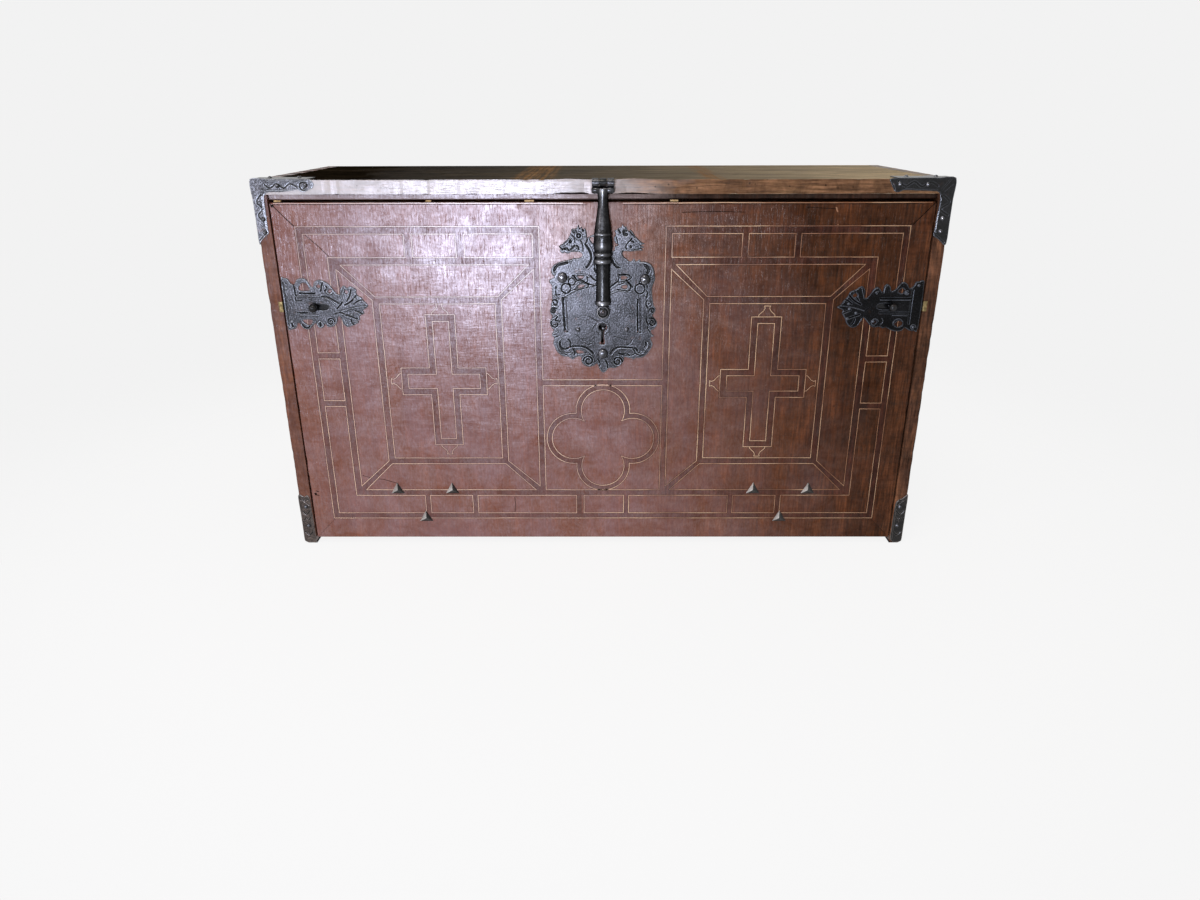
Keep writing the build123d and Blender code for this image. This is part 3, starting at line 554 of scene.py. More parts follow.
forging = {
    "patterns": {
        "patch": ((26.3, 26.3, 26.3), 4.0, 0.6, 0.0),  # where the blacking has worn
        "grain": ((2.326, 2.326, 2.326), 4.0, 0.65, 0.0),  # forge scale, drawn coarser to show
        "rust": ((14.29, 14.29, 14.29), 4.0, 0.7, 0.0),
        "hammer": ((9.09, 9.09, 9.09), 2.0, 0.5, 0.0),  # hammer marks
    },
    "speckle": [(0.39, 0.25), (0.5, 0.9), (0.61, 1.8)],
    "speckleDepth": 0.85,
    "rustColour": "#4a2f20",
    "across": (-0.09, 0.09, 1.45, 0.62),  # painted light: brighter on the left of the front than on its right
    # painted light: darker towards the bottom, lighter towards the top
    "upwards": (0.34, 0.52, 0.68, 1.3),
    "raised": [(0.0, 0.04), (0.6, 0.72), (1.0, 1.2)],  # from the bottom of the cuts to the high parts: blacking kept low down, and painted shade along the low outer rim
    "raisedDepth": 0.97,
    # convex rims are mixed towards a painted highlight colour, and hollows darkened as painted shade
    "edges": [(0.505, 0.0), (0.54, 1.0)],
    "creases": [(0.462, 0.02), (0.496, 1.0)],
    "creaseDepth": 0.95,
    "coatRough": 0.16,
    # how strongly the hammer marks stand up, and how high they and the scale stand in mm
    "hammerStrength": 0.08,
    "hammerHeight": 1.0,
    "scaleHeight": 0.3,
}


def makeIron(name, look):
    # forged iron under old blacking: darker in the cut lines, where blacking stays, with painted shade in the
    # hollows, and brighter on the high parts, rubbed and with a painted highlight
    material, tree, shader, place = newMaterial(name)
    pattern = addPatterns(tree, place, forging["patterns"])
    patch = pattern["patch"]
    coloured = addNode(
        tree, "ValToRGB", {0: patch}, [(0.25, look["dark"]), (0.52, look["mid"]), (0.8, look["light"])]
    )
    speckle = addNode(tree, "ValToRGB", {0: pattern["grain"]}, forging["speckle"])
    coloured = addNode(tree, "Mix", {0: forging["speckleDepth"], 6: coloured, 7: speckle}, **multiplied)
    rusted = addNode(tree, "ValToRGB", {0: pattern["rust"]}, [(0.60, 0.0), (0.72, look["rust"])])
    coloured = addNode(tree, "Mix", {0: rusted, 6: coloured, 7: forging["rustColour"]}, **laidOver)
    if "reliefLow" in look:
        split = addNode(tree, "SeparateXYZ", {"Vector": place})
        # painted light: brighter towards the left of the front and towards the top
        for axis, key in (("X", "across"), ("Z", "upwards")):
            level = addNode(tree, "MapRange", dict(enumerate((split.outputs[axis], *forging[key]))))
            coloured = addNode(tree, "Mix", {0: 1.0, 6: coloured, 7: level}, **multiplied)
        lowY, highY = fallFace - look["reliefLow"] * mm, fallFace - look["reliefHigh"] * mm
        depth = addNode(tree, "MapRange", {0: split.outputs["Y"], 1: lowY, 2: highY})
        raised = addNode(tree, "ValToRGB", {0: depth}, forging["raised"])
        coloured = addNode(tree, "Mix", {0: forging["raisedDepth"], 6: coloured, 7: raised}, **multiplied)
    if "reliefLow" in look or "turned" in look:
        # painted highlight on the rims, more where the blacking is worn, and painted shade in the hollows
        bent = addNode(tree, "NewGeometry").outputs["Pointiness"]
        edges = addNode(tree, "ValToRGB", {0: bent}, forging["edges"])
        wearAndHighlight = addNode(tree, "ValToRGB", {0: patch}, [(0.3, 0.4), (0.6, 1.0)])
        wornAndHighlit = addNode(tree, "Math", {0: edges, 1: wearAndHighlight}, operation="MULTIPLY")
        coloured = addNode(tree, "Mix", {0: wornAndHighlit, 6: coloured, 7: look["edge"]}, **laidOver)
        creases = addNode(tree, "ValToRGB", {0: bent}, forging["creases"])
        coloured = addNode(tree, "Mix", {0: forging["creaseDepth"], 6: coloured, 7: creases}, **multiplied)
    if "sideLit" in look:
        # painted light and shade: how bright each face is painted, by how far it looks to the left (0) or
        # right (1)
        facing = addNode(tree, "SeparateXYZ", {"Vector": addNode(tree, "NewGeometry").outputs["Normal"]})
        turned = addNode(tree, "MapRange", {0: facing.outputs["X"], 1: -1.0, 2: 1.0})
        bright = addNode(tree, "ValToRGB", {0: turned}, look["sideLit"])
        coloured = addNode(tree, "Mix", {0: 1.0, 6: coloured, 7: bright}, **multiplied)
    rough = addNode(tree, "MapRange", {0: patch, 1: 0.3, 2: 0.7, 3: look["roughLow"], 4: look["roughHigh"]})
    tree.links.new(coloured.outputs[2], shader.inputs["Base Color"])
    tree.links.new(rough.outputs["Result"], shader.inputs["Roughness"])
    shader.inputs["Metallic"].default_value = look["metallic"]
    shader.inputs["Specular Tint"].default_value = toLinear(look["tint"])
    shader.inputs["Coat Weight"].default_value = look["coat"]
    shader.inputs["Coat Roughness"].default_value = forging["coatRough"]
    addRelief(tree, shader, [
        (pattern["hammer"], forging["hammerStrength"], forging["hammerHeight"]),
        (pattern["grain"], look["grit"], forging["scaleHeight"]),
    ])
    return material


ironLook = {
    "dark": "#28282a",
    "mid": "#3c3c40",
    "light": "#5c5c62",
    "rust": 0.35,
    "metallic": 0.75,
    "roughLow": 0.27,
    "roughHigh": 0.37,
    "grit": 0.6,
    "coat": 0.0,
    "tint": "#ffffff",
    "edge": "#888b93",
}
blackLook = {
    **ironLook,
    "dark": "#0b0b0c",
    "mid": "#151516",
    "light": "#232325",
    "metallic": 0.5,
    "roughLow": 0.24,
    "coat": 0.4,
    "tint": "#8a8a90",
    "edge": "#4e5056",
}
shoeLook = {**ironLook, "reliefLow": 0.5, "reliefHigh": 1.5, "rust": 0.8, "metallic": 0.45, "edge": "#6a625c"}
blackIron = makeIron("blackIron", blackLook)  # waxed blacking, nearly whole
chasedIron = makeIron(
    "chasedIron", {**ironLook, "reliefLow": 1.15, "reliefHigh": 2.7}
)  # grey where the chasing is worn, black in its cuts from blacking and painted shade
chasedBlack = makeIron("chasedBlack", {
    **blackLook,
    "reliefLow": 1.2,
    "reliefHigh": 2.7,
    "coat": 0.1,
    "tint": "#4a4b4f",
    "edge": "#595c63",
})  # the same, much darker, for the right-hand bolt plate
nailIron = makeIron("nailIron", {
    **ironLook,
    "dark": "#4a4a4e",
    "mid": "#6e6e74",
    "light": "#9c9ca4",
    "roughLow": 0.13,
    "roughHigh": 0.22,
    "coat": 0.25,
    "sideLit": [(0.15, 0.9), (0.35, 1.0), (0.55, 0.3), (0.9, 0.08)],
})  # domed heads polished by touch, painted bright on the left as a highlight and painted dark on the right as shade
pyramidIron = makeIron("pyramidIron", {
    **ironLook,
    "dark": "#1c1a19",
    "mid": "#373432",
    "light": "#5d5955",
    "turned": True,
    "edge": "#b3aea7",
    "metallic": 0.3,
    "roughLow": 0.2,
    "roughHigh": 0.34,
    "coat": 0.08,
    "sideLit": [(0.27, 1.25), (0.46, 0.06)],
})  # painted silver on the left faces and edges as a highlight, painted dark on the others as shade
rubbedIron = makeIron("rubbedIron", {
    **ironLook,
    "roughLow": 0.18,
    "roughHigh": 0.28,
    "coat": 0.4,
    "tint": "#b0b0b4",
})  # knuckles, burnished by use, and the boss's crown, lighter as a painted highlight on its rings
polishedIron = makeIron("polishedIron", {
    **blackLook,
    "turned": True,
    "sideLit": [(0.04, 0.12), (0.22, 0.5), (0.36, 1.0), (0.52, 0.55), (0.7, 0.14), (1.0, 0.06)],
    "edge": "#a6a6aa",
    "dark": "#2c2c2d",
    "mid": "#424243",
    "light": "#5a5a5c",
    "metallic": 0.6,
    "roughLow": 0.2,
    "roughHigh": 0.32,
    "grit": 0.25,
    "coat": 0.0,
    "tint": "#a4a4aa",
})  # turned smooth, with one long painted highlight down its left and painted shade at its sides
strapIron = {
    "left": makeIron("strapIron", {
        **ironLook,
        "reliefLow": 0.4,
        "reliefHigh": 1.3,
        "edge": "#a9adb6",
        "coat": 0.15,
    }),  # lighter grey-blue
    "right": makeIron("strapBlack", {**blackLook, "reliefLow": 0.5, "reliefHigh": 1.5}),  # nearly black
}
shoeIron = {
    "left": makeIron(
        "shoeRusty", {**shoeLook, "dark": "#2c2522", "mid": "#443a35", "light": "#5e534c"}
    ),  # brown with rust
    "right": makeIron(
        "shoeDark", {**shoeLook, "dark": "#171514", "mid": "#272423", "light": "#3c3836"}
    ),  # the same, darker
}
wrapIron = makeIron(
    "wrapIron", {**ironLook, "dark": "#171718", "mid": "#262628", "light": "#3a3a3d", "rust": 0.5}
)  # plain strap, dull and dark

brassLook = {
    "patterns": {"patch": ((6.25, 6.25, 6.25), 3.0, 0.6, 0.0)},
    "tones": [(0.35, "#4d4026"), (0.55, "#84724c"), (0.7, "#ab9a70")],
    "metallic": 0.8,
    "rough": 0.5,
}


def makeBrass(look):
    # cast brass gone brown, dull with a little yellow left
    material, tree, shader, place = newMaterial("agedBrass")
    patch = addPatterns(tree, place, look["patterns"])["patch"]
    tone = addNode(tree, "ValToRGB", {0: patch}, look["tones"])
    tree.links.new(tone.outputs["Color"], shader.inputs["Base Color"])
    shader.inputs["Metallic"].default_value = look["metallic"]
    shader.inputs["Roughness"].default_value = look["rough"]
    return material


agedBrass = makeBrass(brassLook)
print("materials made")


# worn boards: the CAD board with broken arrises, dents and chips

def wornCopy(name, node, body, material, look):
    bm = bmesh.new()
    bm.from_mesh(nodes[node].data)
    bmesh.ops.remove_doubles(bm, verts=bm.verts, dist=1e-6)
    bmesh.ops.dissolve_limit(bm, angle_limit=math.radians(1), verts=bm.verts, edges=bm.edges)
    low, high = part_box(node)
    for axis, step in look["slices"]:
        direction = Vector([1.0 if i == axis else 0.0 for i in range(3)])
        count = int((high[axis] - low[axis]) / step)
        for number in range(1, count):
            point = Vector(low)
            # a hair off, so that no cut meets a corner
            point[axis] = low[axis] + (high[axis] - low[axis]) * number / count + 1.7e-5
            bmesh.ops.bisect_plane(
                bm, geom=bm.verts[:] + bm.edges[:] + bm.faces[:], plane_co=point, plane_no=direction
            )
    for width, test in look["bevels"]:
        sharp = [
            e for e in bm.edges
            if len(e.link_faces) == 2 and e.calc_face_angle(0) > math.radians(40) and test(e)
        ]
        bmesh.ops.bevel(
            bm, geom=sharp, offset=width, segments=2, profile=0.6, affect="EDGES", clamp_overlap=True
        )
    bm.normal_update()
    moves = []
    for v in bm.verts:
        rough = noise.noise(v.co * look["roughScale"]) * 0.5 + 0.5
        coarse = noise.noise(v.co * look["roughScale"] * 0.21 + Vector((7, 3, 1))) * 0.5 + 0.5
        move = v.normal * -(look["rough"] * rough * coarse * 2)
        for centre, radius, depth, heading in look.get("dents", []):
            gap = (v.co - Vector(centre)).length / radius
            if gap < 1:
                push = -v.normal if heading is None else Vector(heading)
                move += push * depth * (1 - gap * gap) ** 2
        moves.append(move)
    for v, move in zip(bm.verts, moves):
        if sum(abs(part) for part in v.normal) > 1.05:  # the broad faces stay where they are
            v.co += move
    mesh = bpy.data.meshes.new(name)
    bm.to_mesh(mesh)
    bm.free()
    piece = finishPiece(name, mesh, material, body, 50)
    for polygon in mesh.polygons:
        polygon.use_smooth = max(abs(part) for part in polygon.normal) < 0.985  # and flat
    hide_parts(node)
    return piece


def anyEdge(edge):
    return True


def frontOuterEdge(edge):
    # the arrises round the fall's own outline, not its mitres or openings
    near = 1.5 * mm
    middle = (edge.verts[0].co + edge.verts[1].co) / 2
    low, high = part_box("fall_board")
    onEnd = abs(abs(middle.x) - high.x) < 1e-4
    return onEnd or middle.z < low.z + near or middle.z > high.z - near


# dents are (middle, radius, depth, heading), in metres; with no heading they go straight in
lipWear = [
    ((-0.052, -0.200, 0.582), 0.034, 0.0022, (0.0, 0.3, 1.0)),
    ((-0.030, -0.200, 0.582), 0.016, 0.0016, (0.0, 0.3, 1.0)),
    ((0.046, -0.200, 0.582), 0.040, 0.0020, (0.0, 0.4, 1.0)),
]


def seededDents(seed, count, low, high, radii, depths):
    # scattered between two corners; radii and depths in mm
    rng = random.Random(seed)
    dents = []
    for _ in range(count):
        centre = tuple(rng.uniform(a, b) for a, b in zip(low, high))
        radius = rng.uniform(*(r * mm for r in radii))
        dents.append((centre, radius, rng.uniform(*(d * mm for d in depths)), None))
    return dents


boardWear = {
    "slices": [(0, 0.007)],
    "bevels": [(1.3 * mm, anyEdge)],
    "rough": 0.4 * mm,
    "roughScale": 55,
}
lidFrontDents = seededDents(3, 20, (-0.5, -0.2, 0.6035), (0.5, -0.2, 0.6045), (3, 8), (0.3, 0.9))
lidLowDents = seededDents(4, 16, (-0.5, -0.2, 0.581), (0.5, -0.2, 0.582), (4, 8), (0.3, 0.8))
lid = wornCopy(
    "lid", "top_board", "root", lidWalnut,
    {**boardWear, "slices": [(0, 0.0045)], "dents": lipWear + lidFrontDents + lidLowDents},
)
lid.data.materials.append(lidEdgeWalnut)
for polygon in lid.data.polygons:
    if polygon.normal.y < -0.6 and polygon.center.y < fallFace + 3 * mm:
        polygon.material_index = 1
for side, sign in sides:
    outer = sign * 0.524  # just inside the board's outer arris
    dents = seededDents(10 + sign, 22, (outer, -0.2, 0.1), (outer, -0.2, 0.55), (4, 12), (0.4, 1.6))
    wornCopy(
        f"cheek_{side}", f"side_board_{side}", "root", carcassWalnut,
        {**boardWear, "slices": [(2, 0.008)], "dents": dents},
    )
wornCopy(
    "floorBoard", "bottom_board", "root", carcassWalnut,
    {**boardWear, "slices": [(0, 0.02)], "bevels": [(0.8 * mm, anyEdge)]},
)
fallWear = {
    "slices": [(0, 0.006)],
    "bevels": [(1.0 * mm, frontOuterEdge), (0.25 * mm, anyEdge)],
    "rough": 0.5 * mm,
    "roughScale": 70,
}
fallDents = [
    ((-0.014, -0.200, 0.571), 0.012, 3.5 * mm, (0.0, 0.3, -1.0)),
    ((0.014, -0.200, 0.571), 0.011, 3.0 * mm, (0.0, 0.3, -1.0)),
    ((0.355, -0.200, 0.571), 0.006, 1.2 * mm, None),
]
fallDents += seededDents(5, 24, (-0.5, -0.2, 0.5695), (0.5, -0.2, 0.571), (4, 10), (0.3, 1.0))
fallDents += seededDents(6, 24, (-0.5, -0.2, 0.0105), (0.5, -0.2, 0.012), (4, 10), (0.3, 1.3))
wornCopy("fallPanel", "fall_board", "fall", waxedWalnut, {**fallWear, "dents": fallDents})
for side, sign in sides:
    edge = sign * 0.502
    dents = seededDents(20 + sign, 16, (edge, -0.2, 0.05), (edge, -0.2, 0.55), (4, 10), (0.3, 1.2))
    wornCopy(
        f"endBatten_{side}", f"fall_batten_{side}", "fall", battenWalnut,
        {**fallWear, "slices": [(2, 0.007)], "dents": dents},
    )
wornCopy(
    "stopRail", "top_rail", "root", railWalnut,
    {**boardWear, "slices": [(0, 0.01)], "bevels": [(0.6 * mm, anyEdge)]},
)
wornCopy(
    "backBoard", "back_board", "root", caseWalnut,
    {**boardWear, "slices": [(0, 0.03)], "bevels": [(0.6 * mm, anyEdge)]},
)
print("boards worn")


# line inlay: pale stringing and dark bands let into the fall, standing a hair proud

inlay = {
    # mm
    "lineWidth": 1.2,
    "bandWidth": 8.8,
    "lineProud": 0.17,
    "seamWidth": 2.7,
    "seamProud": 0.11,
    "bandProud": 0.06,
    "depth": 0.5,
    "wobble": 0.35,  # how far a line wanders off its ruler
    "uneven": 0.22,  # how much its width comes and goes
    "pitch": 9.0,  # between the stations of a strip
    "step": 0.008,  # each strip of a piece stands this much over the last, so crossings stay clean
    "nickWidth": 1.9,
    "nickProud": 0.05,
    "crackWidth": 0.9,
    "crackProud": 0.04,
    "chipWidth": 4.2,
}


def resample(points, closed, pitch):
    made = []
    pairs = list(zip(points, points[1:] + points[:1])) if closed else list(zip(points, points[1:]))
    for start, end in pairs:
        steps = max(1, round(math.dist(start, end) / pitch))
        for step in range(steps):
            t = step / steps
            made.append((start[0] + (end[0] - start[0]) * t, start[1] + (end[1] - start[1]) * t))
    if not closed:
        made.append(points[-1])
    return made


def stripMesh(points, closed, width, proud, seed, plane, outward):
    # a strip of four corners a station, mitred at its turns
    route = resample(points, closed, inlay["pitch"])
    count = len(route)
    vertices, faces = [], []
    for i, (x, z) in enumerate(route):
        before = route[i - 1] if closed or i else route[0]
        after = route[(i + 1) % count] if closed or i < count - 1 else route[-1]
        into = Vector((x - before[0], z - before[1]))
        out = Vector((after[0] - x, after[1] - z))
        into = into.normalized() if into.length > 1e-6 else out.normalized()
        out = out.normalized() if out.length > 1e-6 else into
        along = (into + out).normalized()
        across = Vector((-along.y, along.x)) / max(0.5, along.dot(into))
        waver = noise.noise(Vector((x * 0.03, z * 0.03, seed))) * inlay["wobble"]
        half = width / 2 * (1 + inlay["uneven"] * noise.noise(Vector((x * 0.11, z * 0.11, seed + 9))))
        for offset, y in ((half, proud), (-half, proud), (-half, -inlay["depth"]), (half, -inlay["depth"])):
            px = x + across.x * (offset + waver)
            pz = z + across.y * (offset + waver)
            vertices.append((px * mm, plane + outward * y * mm, pz * mm))
    last = count if closed else count - 1
    for i in range(last):
        a, b = i * 4, (i + 1) % count * 4
        for k in range(4):
            faces.append((a + k, b + k, b + (k + 1) % 4, a + (k + 1) % 4))
    if not closed:
        end = (count - 1) * 4
        faces.append((0, 1, 2, 3))
        faces.append((end + 3, end + 2, end + 1, end))
    return vertices, faces


def joinStrips(name, strips, width, proud, material, body="fall", plane=fallFace, outward=-1):
    shells = [
        stripMesh(points, closed, width, proud + number % 5 * inlay["step"], number, plane, outward)
        for number, (points, closed) in enumerate(strips)
    ]
    return joinPiece(name, shells, material, body)


def rectangle(x0, x1, z0, z1):
    return [(x0, z0), (x1, z0), (x1, z1), (x0, z1)]


def crossOutline(x0, x1, z0, z1, armX0, armX1, armZ0, armZ1):
    return [
        (x0, z0), (x1, z0), (x1, armZ0), (armX1, armZ0), (armX1, armZ1), (x1, armZ1),
        (x1, z1), (x0, z1), (x0, armZ1), (armX0, armZ1), (armX0, armZ0), (x0, armZ0),
    ]


def inset(outline, amount):
    # moves each right-angled corner inwards, for outlines that run anticlockwise
    made = []
    for i, (x, z) in enumerate(outline):
        before, after = outline[i - 1], outline[(i + 1) % len(outline)]
        into = Vector((x - before[0], z - before[1])).normalized()
        out = Vector((after[0] - x, after[1] - z)).normalized()
        made.append((x - (into.y + out.y) * amount, z + (into.x + out.x) * amount))
    return made


def finial(x, z, turn):
    # a little ogee that ends a cross arm
    half = [(13, 0), (12.6, 3.2), (9.5, 6), (5.6, 9.5), (3.6, 13.5), (4.6, 17)]
    outline = half + [(-a, b) for a, b in reversed(half)]
    c, s = math.cos(turn), math.sin(turn)
    return [(x + a * c - b * s, z + a * s + b * c) for a, b in outline]


def lobeArc(centre, radius, heading, reach, steps=22):
    angles = [heading + reach * (2 * i / steps - 1) for i in range(steps + 1)]
    return [(centre[0] + radius * math.cos(a), centre[1] + radius * math.sin(a)) for a in angles]


def quatrefoil(radius, middle=(0.7, 194.5), shift=49.0):
    # four arcs that meet where their circles cross on the diagonals
    cross = (shift + math.sqrt(2 * radius * radius - shift * shift)) / 2
    reach = math.atan2(cross, cross - shift)
    points = []
    for quarter in range(4):
        heading = quarter * math.pi / 2
        centre = (middle[0] + shift * math.cos(heading), middle[1] + shift * math.sin(heading))
        points += lobeArc(centre, radius, heading, reach)[:-1]
    return points


lines, bands = [], []
for side, sign in sides:
    def place(points, sign=sign):
        return [(x * sign, z) for x, z in points]

    lines.append((place([(0, 296), (97, 296), (97, 536), (468, 536), (468, 48), (0, 48)]), False))
    lines.append((place([(0, 101.5), (97, 101.5), (97, 286), (0, 286)]), False))
    top = ((107, 214), (224, 295)) if sign > 0 else ((107, 212), (225, 292))
    crossLow, crossHigh = (246, 325) if sign > 0 else (251, 331)
    for x0, x1 in top:
        lines.append((place(rectangle(x0, x1, 490, 525)), True))
    lines.append((
        place([(304, 525), (458, 525), (458, crossHigh + 10), (424, crossHigh + 10), (424, 490), (304, 490)]),
        True,
    ))
    lines.append((place(rectangle(424, 458, crossLow + 10, crossHigh)), True))
    lines.append((
        place([(458, crossLow), (424, crossLow), (424, 91), (306, 91), (306, 58), (458, 58)]),
        True,
    ))
    for x0, x1 in ((45, 215), (224, 297)):
        lines.append((place(rectangle(x0, x1, 58, 91)), True))
    # the field, four panels mitred round an inner frame
    lines.append((place([(114, 479), (406, 479), (357, 430), (164, 430)]), True))
    lines.append((place([(114, 101.5), (406, 101.5), (357, 149.5), (164, 149.5)]), True))
    lines.append((place([(107, 472), (159, 425), (159, 154.5), (107, 108.5)]), True))
    lines.append((place([(413, 472), (362, 425), (362, 154.5), (413, 108.5)]), True))
    lines.append((place(rectangle(169, 351, 160, 419)), True))
    if sign > 0:
        latin = crossOutline(236, 283.5, 180, 398, 191.5, 330, 266, 313)
    else:
        latin = crossOutline(-280.5, -234, 184, 402, -327, -189, 271, 316)
    lines.append((latin, True))
    lines.append((inset(latin, 10.5), True))
    bands.append((inset(latin, 5.2), True))
    middleX = (latin[0][0] + latin[1][0]) / 2
    armZ = (latin[2][1] + latin[5][1]) / 2
    lines.append((finial(middleX, latin[6][1], 0), False))
    lines.append((finial(middleX, latin[0][1], math.pi), False))
    lines.append((finial(latin[3][0], armZ, -math.pi / 2), False))
    lines.append((finial(latin[10][0], armZ, math.pi / 2), False))
    bands.append((place([(102, 484.5), (102, 530.5), (463, 530.5), (463, 53), (0, 53)]), False))
    bands.append((place(rectangle(102, 418.5, 96.5, 484.5)), True))
    bands.append((place(rectangle(164, 356.5, 155, 424.5)), True))
    for z in (96.5, 291):
        bands.append((place([(0, z), (97, z)]), False))
    for x in (219, 299.5):
        bands.append((place([(x, 490), (x, 525)]), False))
    for z in (crossLow + 5, crossHigh + 5):
        bands.append((place([(424, z), (458, z)]), False))
    for x in (40.5, 219.5, 301.5):
        bands.append((place([(x, 58), (x, 91)]), False))
    for corner, inner in (
        ((107, 479), (160, 428)), ((413, 479), (360, 428)),
        ((107, 101.5), (160, 151)), ((413, 101.5), (360, 151)),
    ):
        bands.append((place([corner, inner]), False))
lines.append((rectangle(-32, 36, 58, 91), True))
lines.append((quatrefoil(44.5), True))
lines.append((quatrefoil(35.8), True))
bands.append((quatrefoil(40.1), True))
# a pale strip along the top arris of the fall, a painted highlight for most of its length
arrisHighlights = [
    ([(-496, 569.6), (-300, 569.8), (-110, 569.4), (-29, 569.2)], False),
    ([(31, 569.2), (180, 569.7), (340, 569.4), (496, 569.6)], False),
]
joinStrips("stringing", lines + arrisHighlights, inlay["lineWidth"], inlay["lineProud"], stringing)
# dark seams beside each line: wax in the joints, and a painted shadow beside the stringing
joinStrips("waxSeamsAndShadows", lines, inlay["seamWidth"], inlay["seamProud"], seamWaxAndShadow)
nicks = [([(352, 563), (355, 556)], False), ([(356.6, 538.4), (361, 531)], False)]
joinStrips("paleNicks", nicks, inlay["nickWidth"], inlay["nickProud"], stringing)
joinStrips("darkBands", bands, inlay["bandWidth"], inlay["bandProud"], bandWood)

# open joints and cracks: dark threads let into the fall, as wide as the gap they stand for
cracks = [
    ([(-457, 527), (-436, 507), (-416, 486)], False),
    ([(-410, 128), (-392, 122.4), (-375, 121), (-353, 114)], False),
    ([(-470, 536.6), (-486, 554), (-501, 570)], False),
    ([(470.6, 537), (487, 554.4), (501, 570)], False),
    ([(-494, 99), (-488.6, 97.4)], False),
    ([(-494, 91.6), (-489, 90.6)], False),
    ([(120, 556), (168, 557.4), (214, 556.2)], False),
    ([(306, 563), (338, 561.4), (352, 560.6)], False),
    ([(-152, 60), (-150.6, 74), (-151.4, 88)], False),
    ([(-409.5, 436), (-411, 456), (-413.4, 474)], False),
    ([(-498, 567.8), (-300, 568.2), (-120, 567.6), (-24, 566.8)], False),
    ([(30, 567), (170, 568), (330, 567.6), (480, 567.8)], False),
]
joinStrips("openJoints", cracks, inlay["crackWidth"], inlay["crackProud"], blackWood)
chips = [([(-500, 566), (-495.6, 566.6)], False), ([(-496.4, 93), (-493, 94)], False)]
joinStrips("darkChips", chips, inlay["chipWidth"], inlay["nickProud"], blackWood)
print("inlay laid")

# wrought ironwork: outlines held as signed distance on a fine grid, negative inside the iron,
# then cut out of the grid and given relief; x and z in millimetres

def smoothRoute(points, closed=False, steps=4):
    # Catmull-Rom through the points
    count = len(points)
    made = []
    for i in range(count if closed else count - 1):
        if closed:
            four = [points[(i + k) % count] for k in (-1, 0, 1, 2)]
        else:
            four = [points[max(0, min(count - 1, i + k))] for k in (-1, 0, 1, 2)]
        for step in range(steps):
            t = step / steps
            made.append(tuple(
                0.5 * (
                    2 * b + (c - a) * t + (2 * a - 5 * b + 4 * c - d) * t ** 2
                    + (3 * b - a - 3 * c + d) * t ** 3
                )
                for a, b, c, d in zip(*four)
            ))
    if not closed:
        made.append(points[-1])
    return made


def spiral(centre, outer, inner, start, turns, steps=26):
    # start in degrees; negative turns wind the other way
    made = []
    for step in range(steps + 1):
        t = step / steps
        angle = math.radians(start + 360 * turns * t)
        radius = outer + (inner - outer) * t
        made.append((centre[0] + radius * math.cos(angle), centre[1] + radius * math.sin(angle)))
    return made


def ring(centre, radius):
    # a closed route, its last point on its first
    return spiral(centre, radius, radius, 0, 1, 18)


def insideOf(x, z, loop):
    inside = np.zeros(x.shape, bool)
    for (ax, az), (bx, bz) in zip(loop, loop[1:] + loop[:1]):
        if az != bz:
            inside ^= ((az > z) != (bz > z)) & (x < ax + (z - az) * (bx - ax) / (bz - az))
    return inside


def lineGap(x, z, route, closed):
    gap = np.full(x.shape, 1e6)
    for (ax, az), (bx, bz) in zip(route, route[1:] + route[:1] if closed else route[1:]):
        dx, dz = bx - ax, bz - az
        t = np.clip(((x - ax) * dx + (z - az) * dz) / max(dx * dx + dz * dz, 1e-9), 0, 1)
        np.minimum(gap, np.hypot(x - ax - t * dx, z - az - t * dz), out=gap)
    return gap


def loopDistance(x, z, loop):
    gap = lineGap(x, z, loop, True)
    return np.where(insideOf(x, z, loop), -gap, gap)


def carve(x, z, height, cuts):
    # each cut is (points, half width, rise); a negative rise is a chiselled groove
    for points, half, rise in cuts:
        half *= 1.25 if rise < 0 else 1.1
        closed = math.dist(points[0], points[-1]) < 1e-6
        points = points[:-1] if closed else points
        route = smoothRoute(points, closed) if len(points) > 2 else points
        routeX = [p[0] for p in route]
        routeZ = [p[1] for p in route]
        columns = np.nonzero((x[0] > min(routeX) - half) & (x[0] < max(routeX) + half))[0]
        rows = np.nonzero((z[:, 0] > min(routeZ) - half) & (z[:, 0] < max(routeZ) + half))[0]
        if len(columns) and len(rows):
            part = (slice(rows[0], rows[-1] + 1), slice(columns[0], columns[-1] + 1))
            gap = lineGap(x[part], z[part], route, closed)
            height[part] += rise * np.clip(1.7 - 1.7 * (gap / half) ** 2, 0, 1)


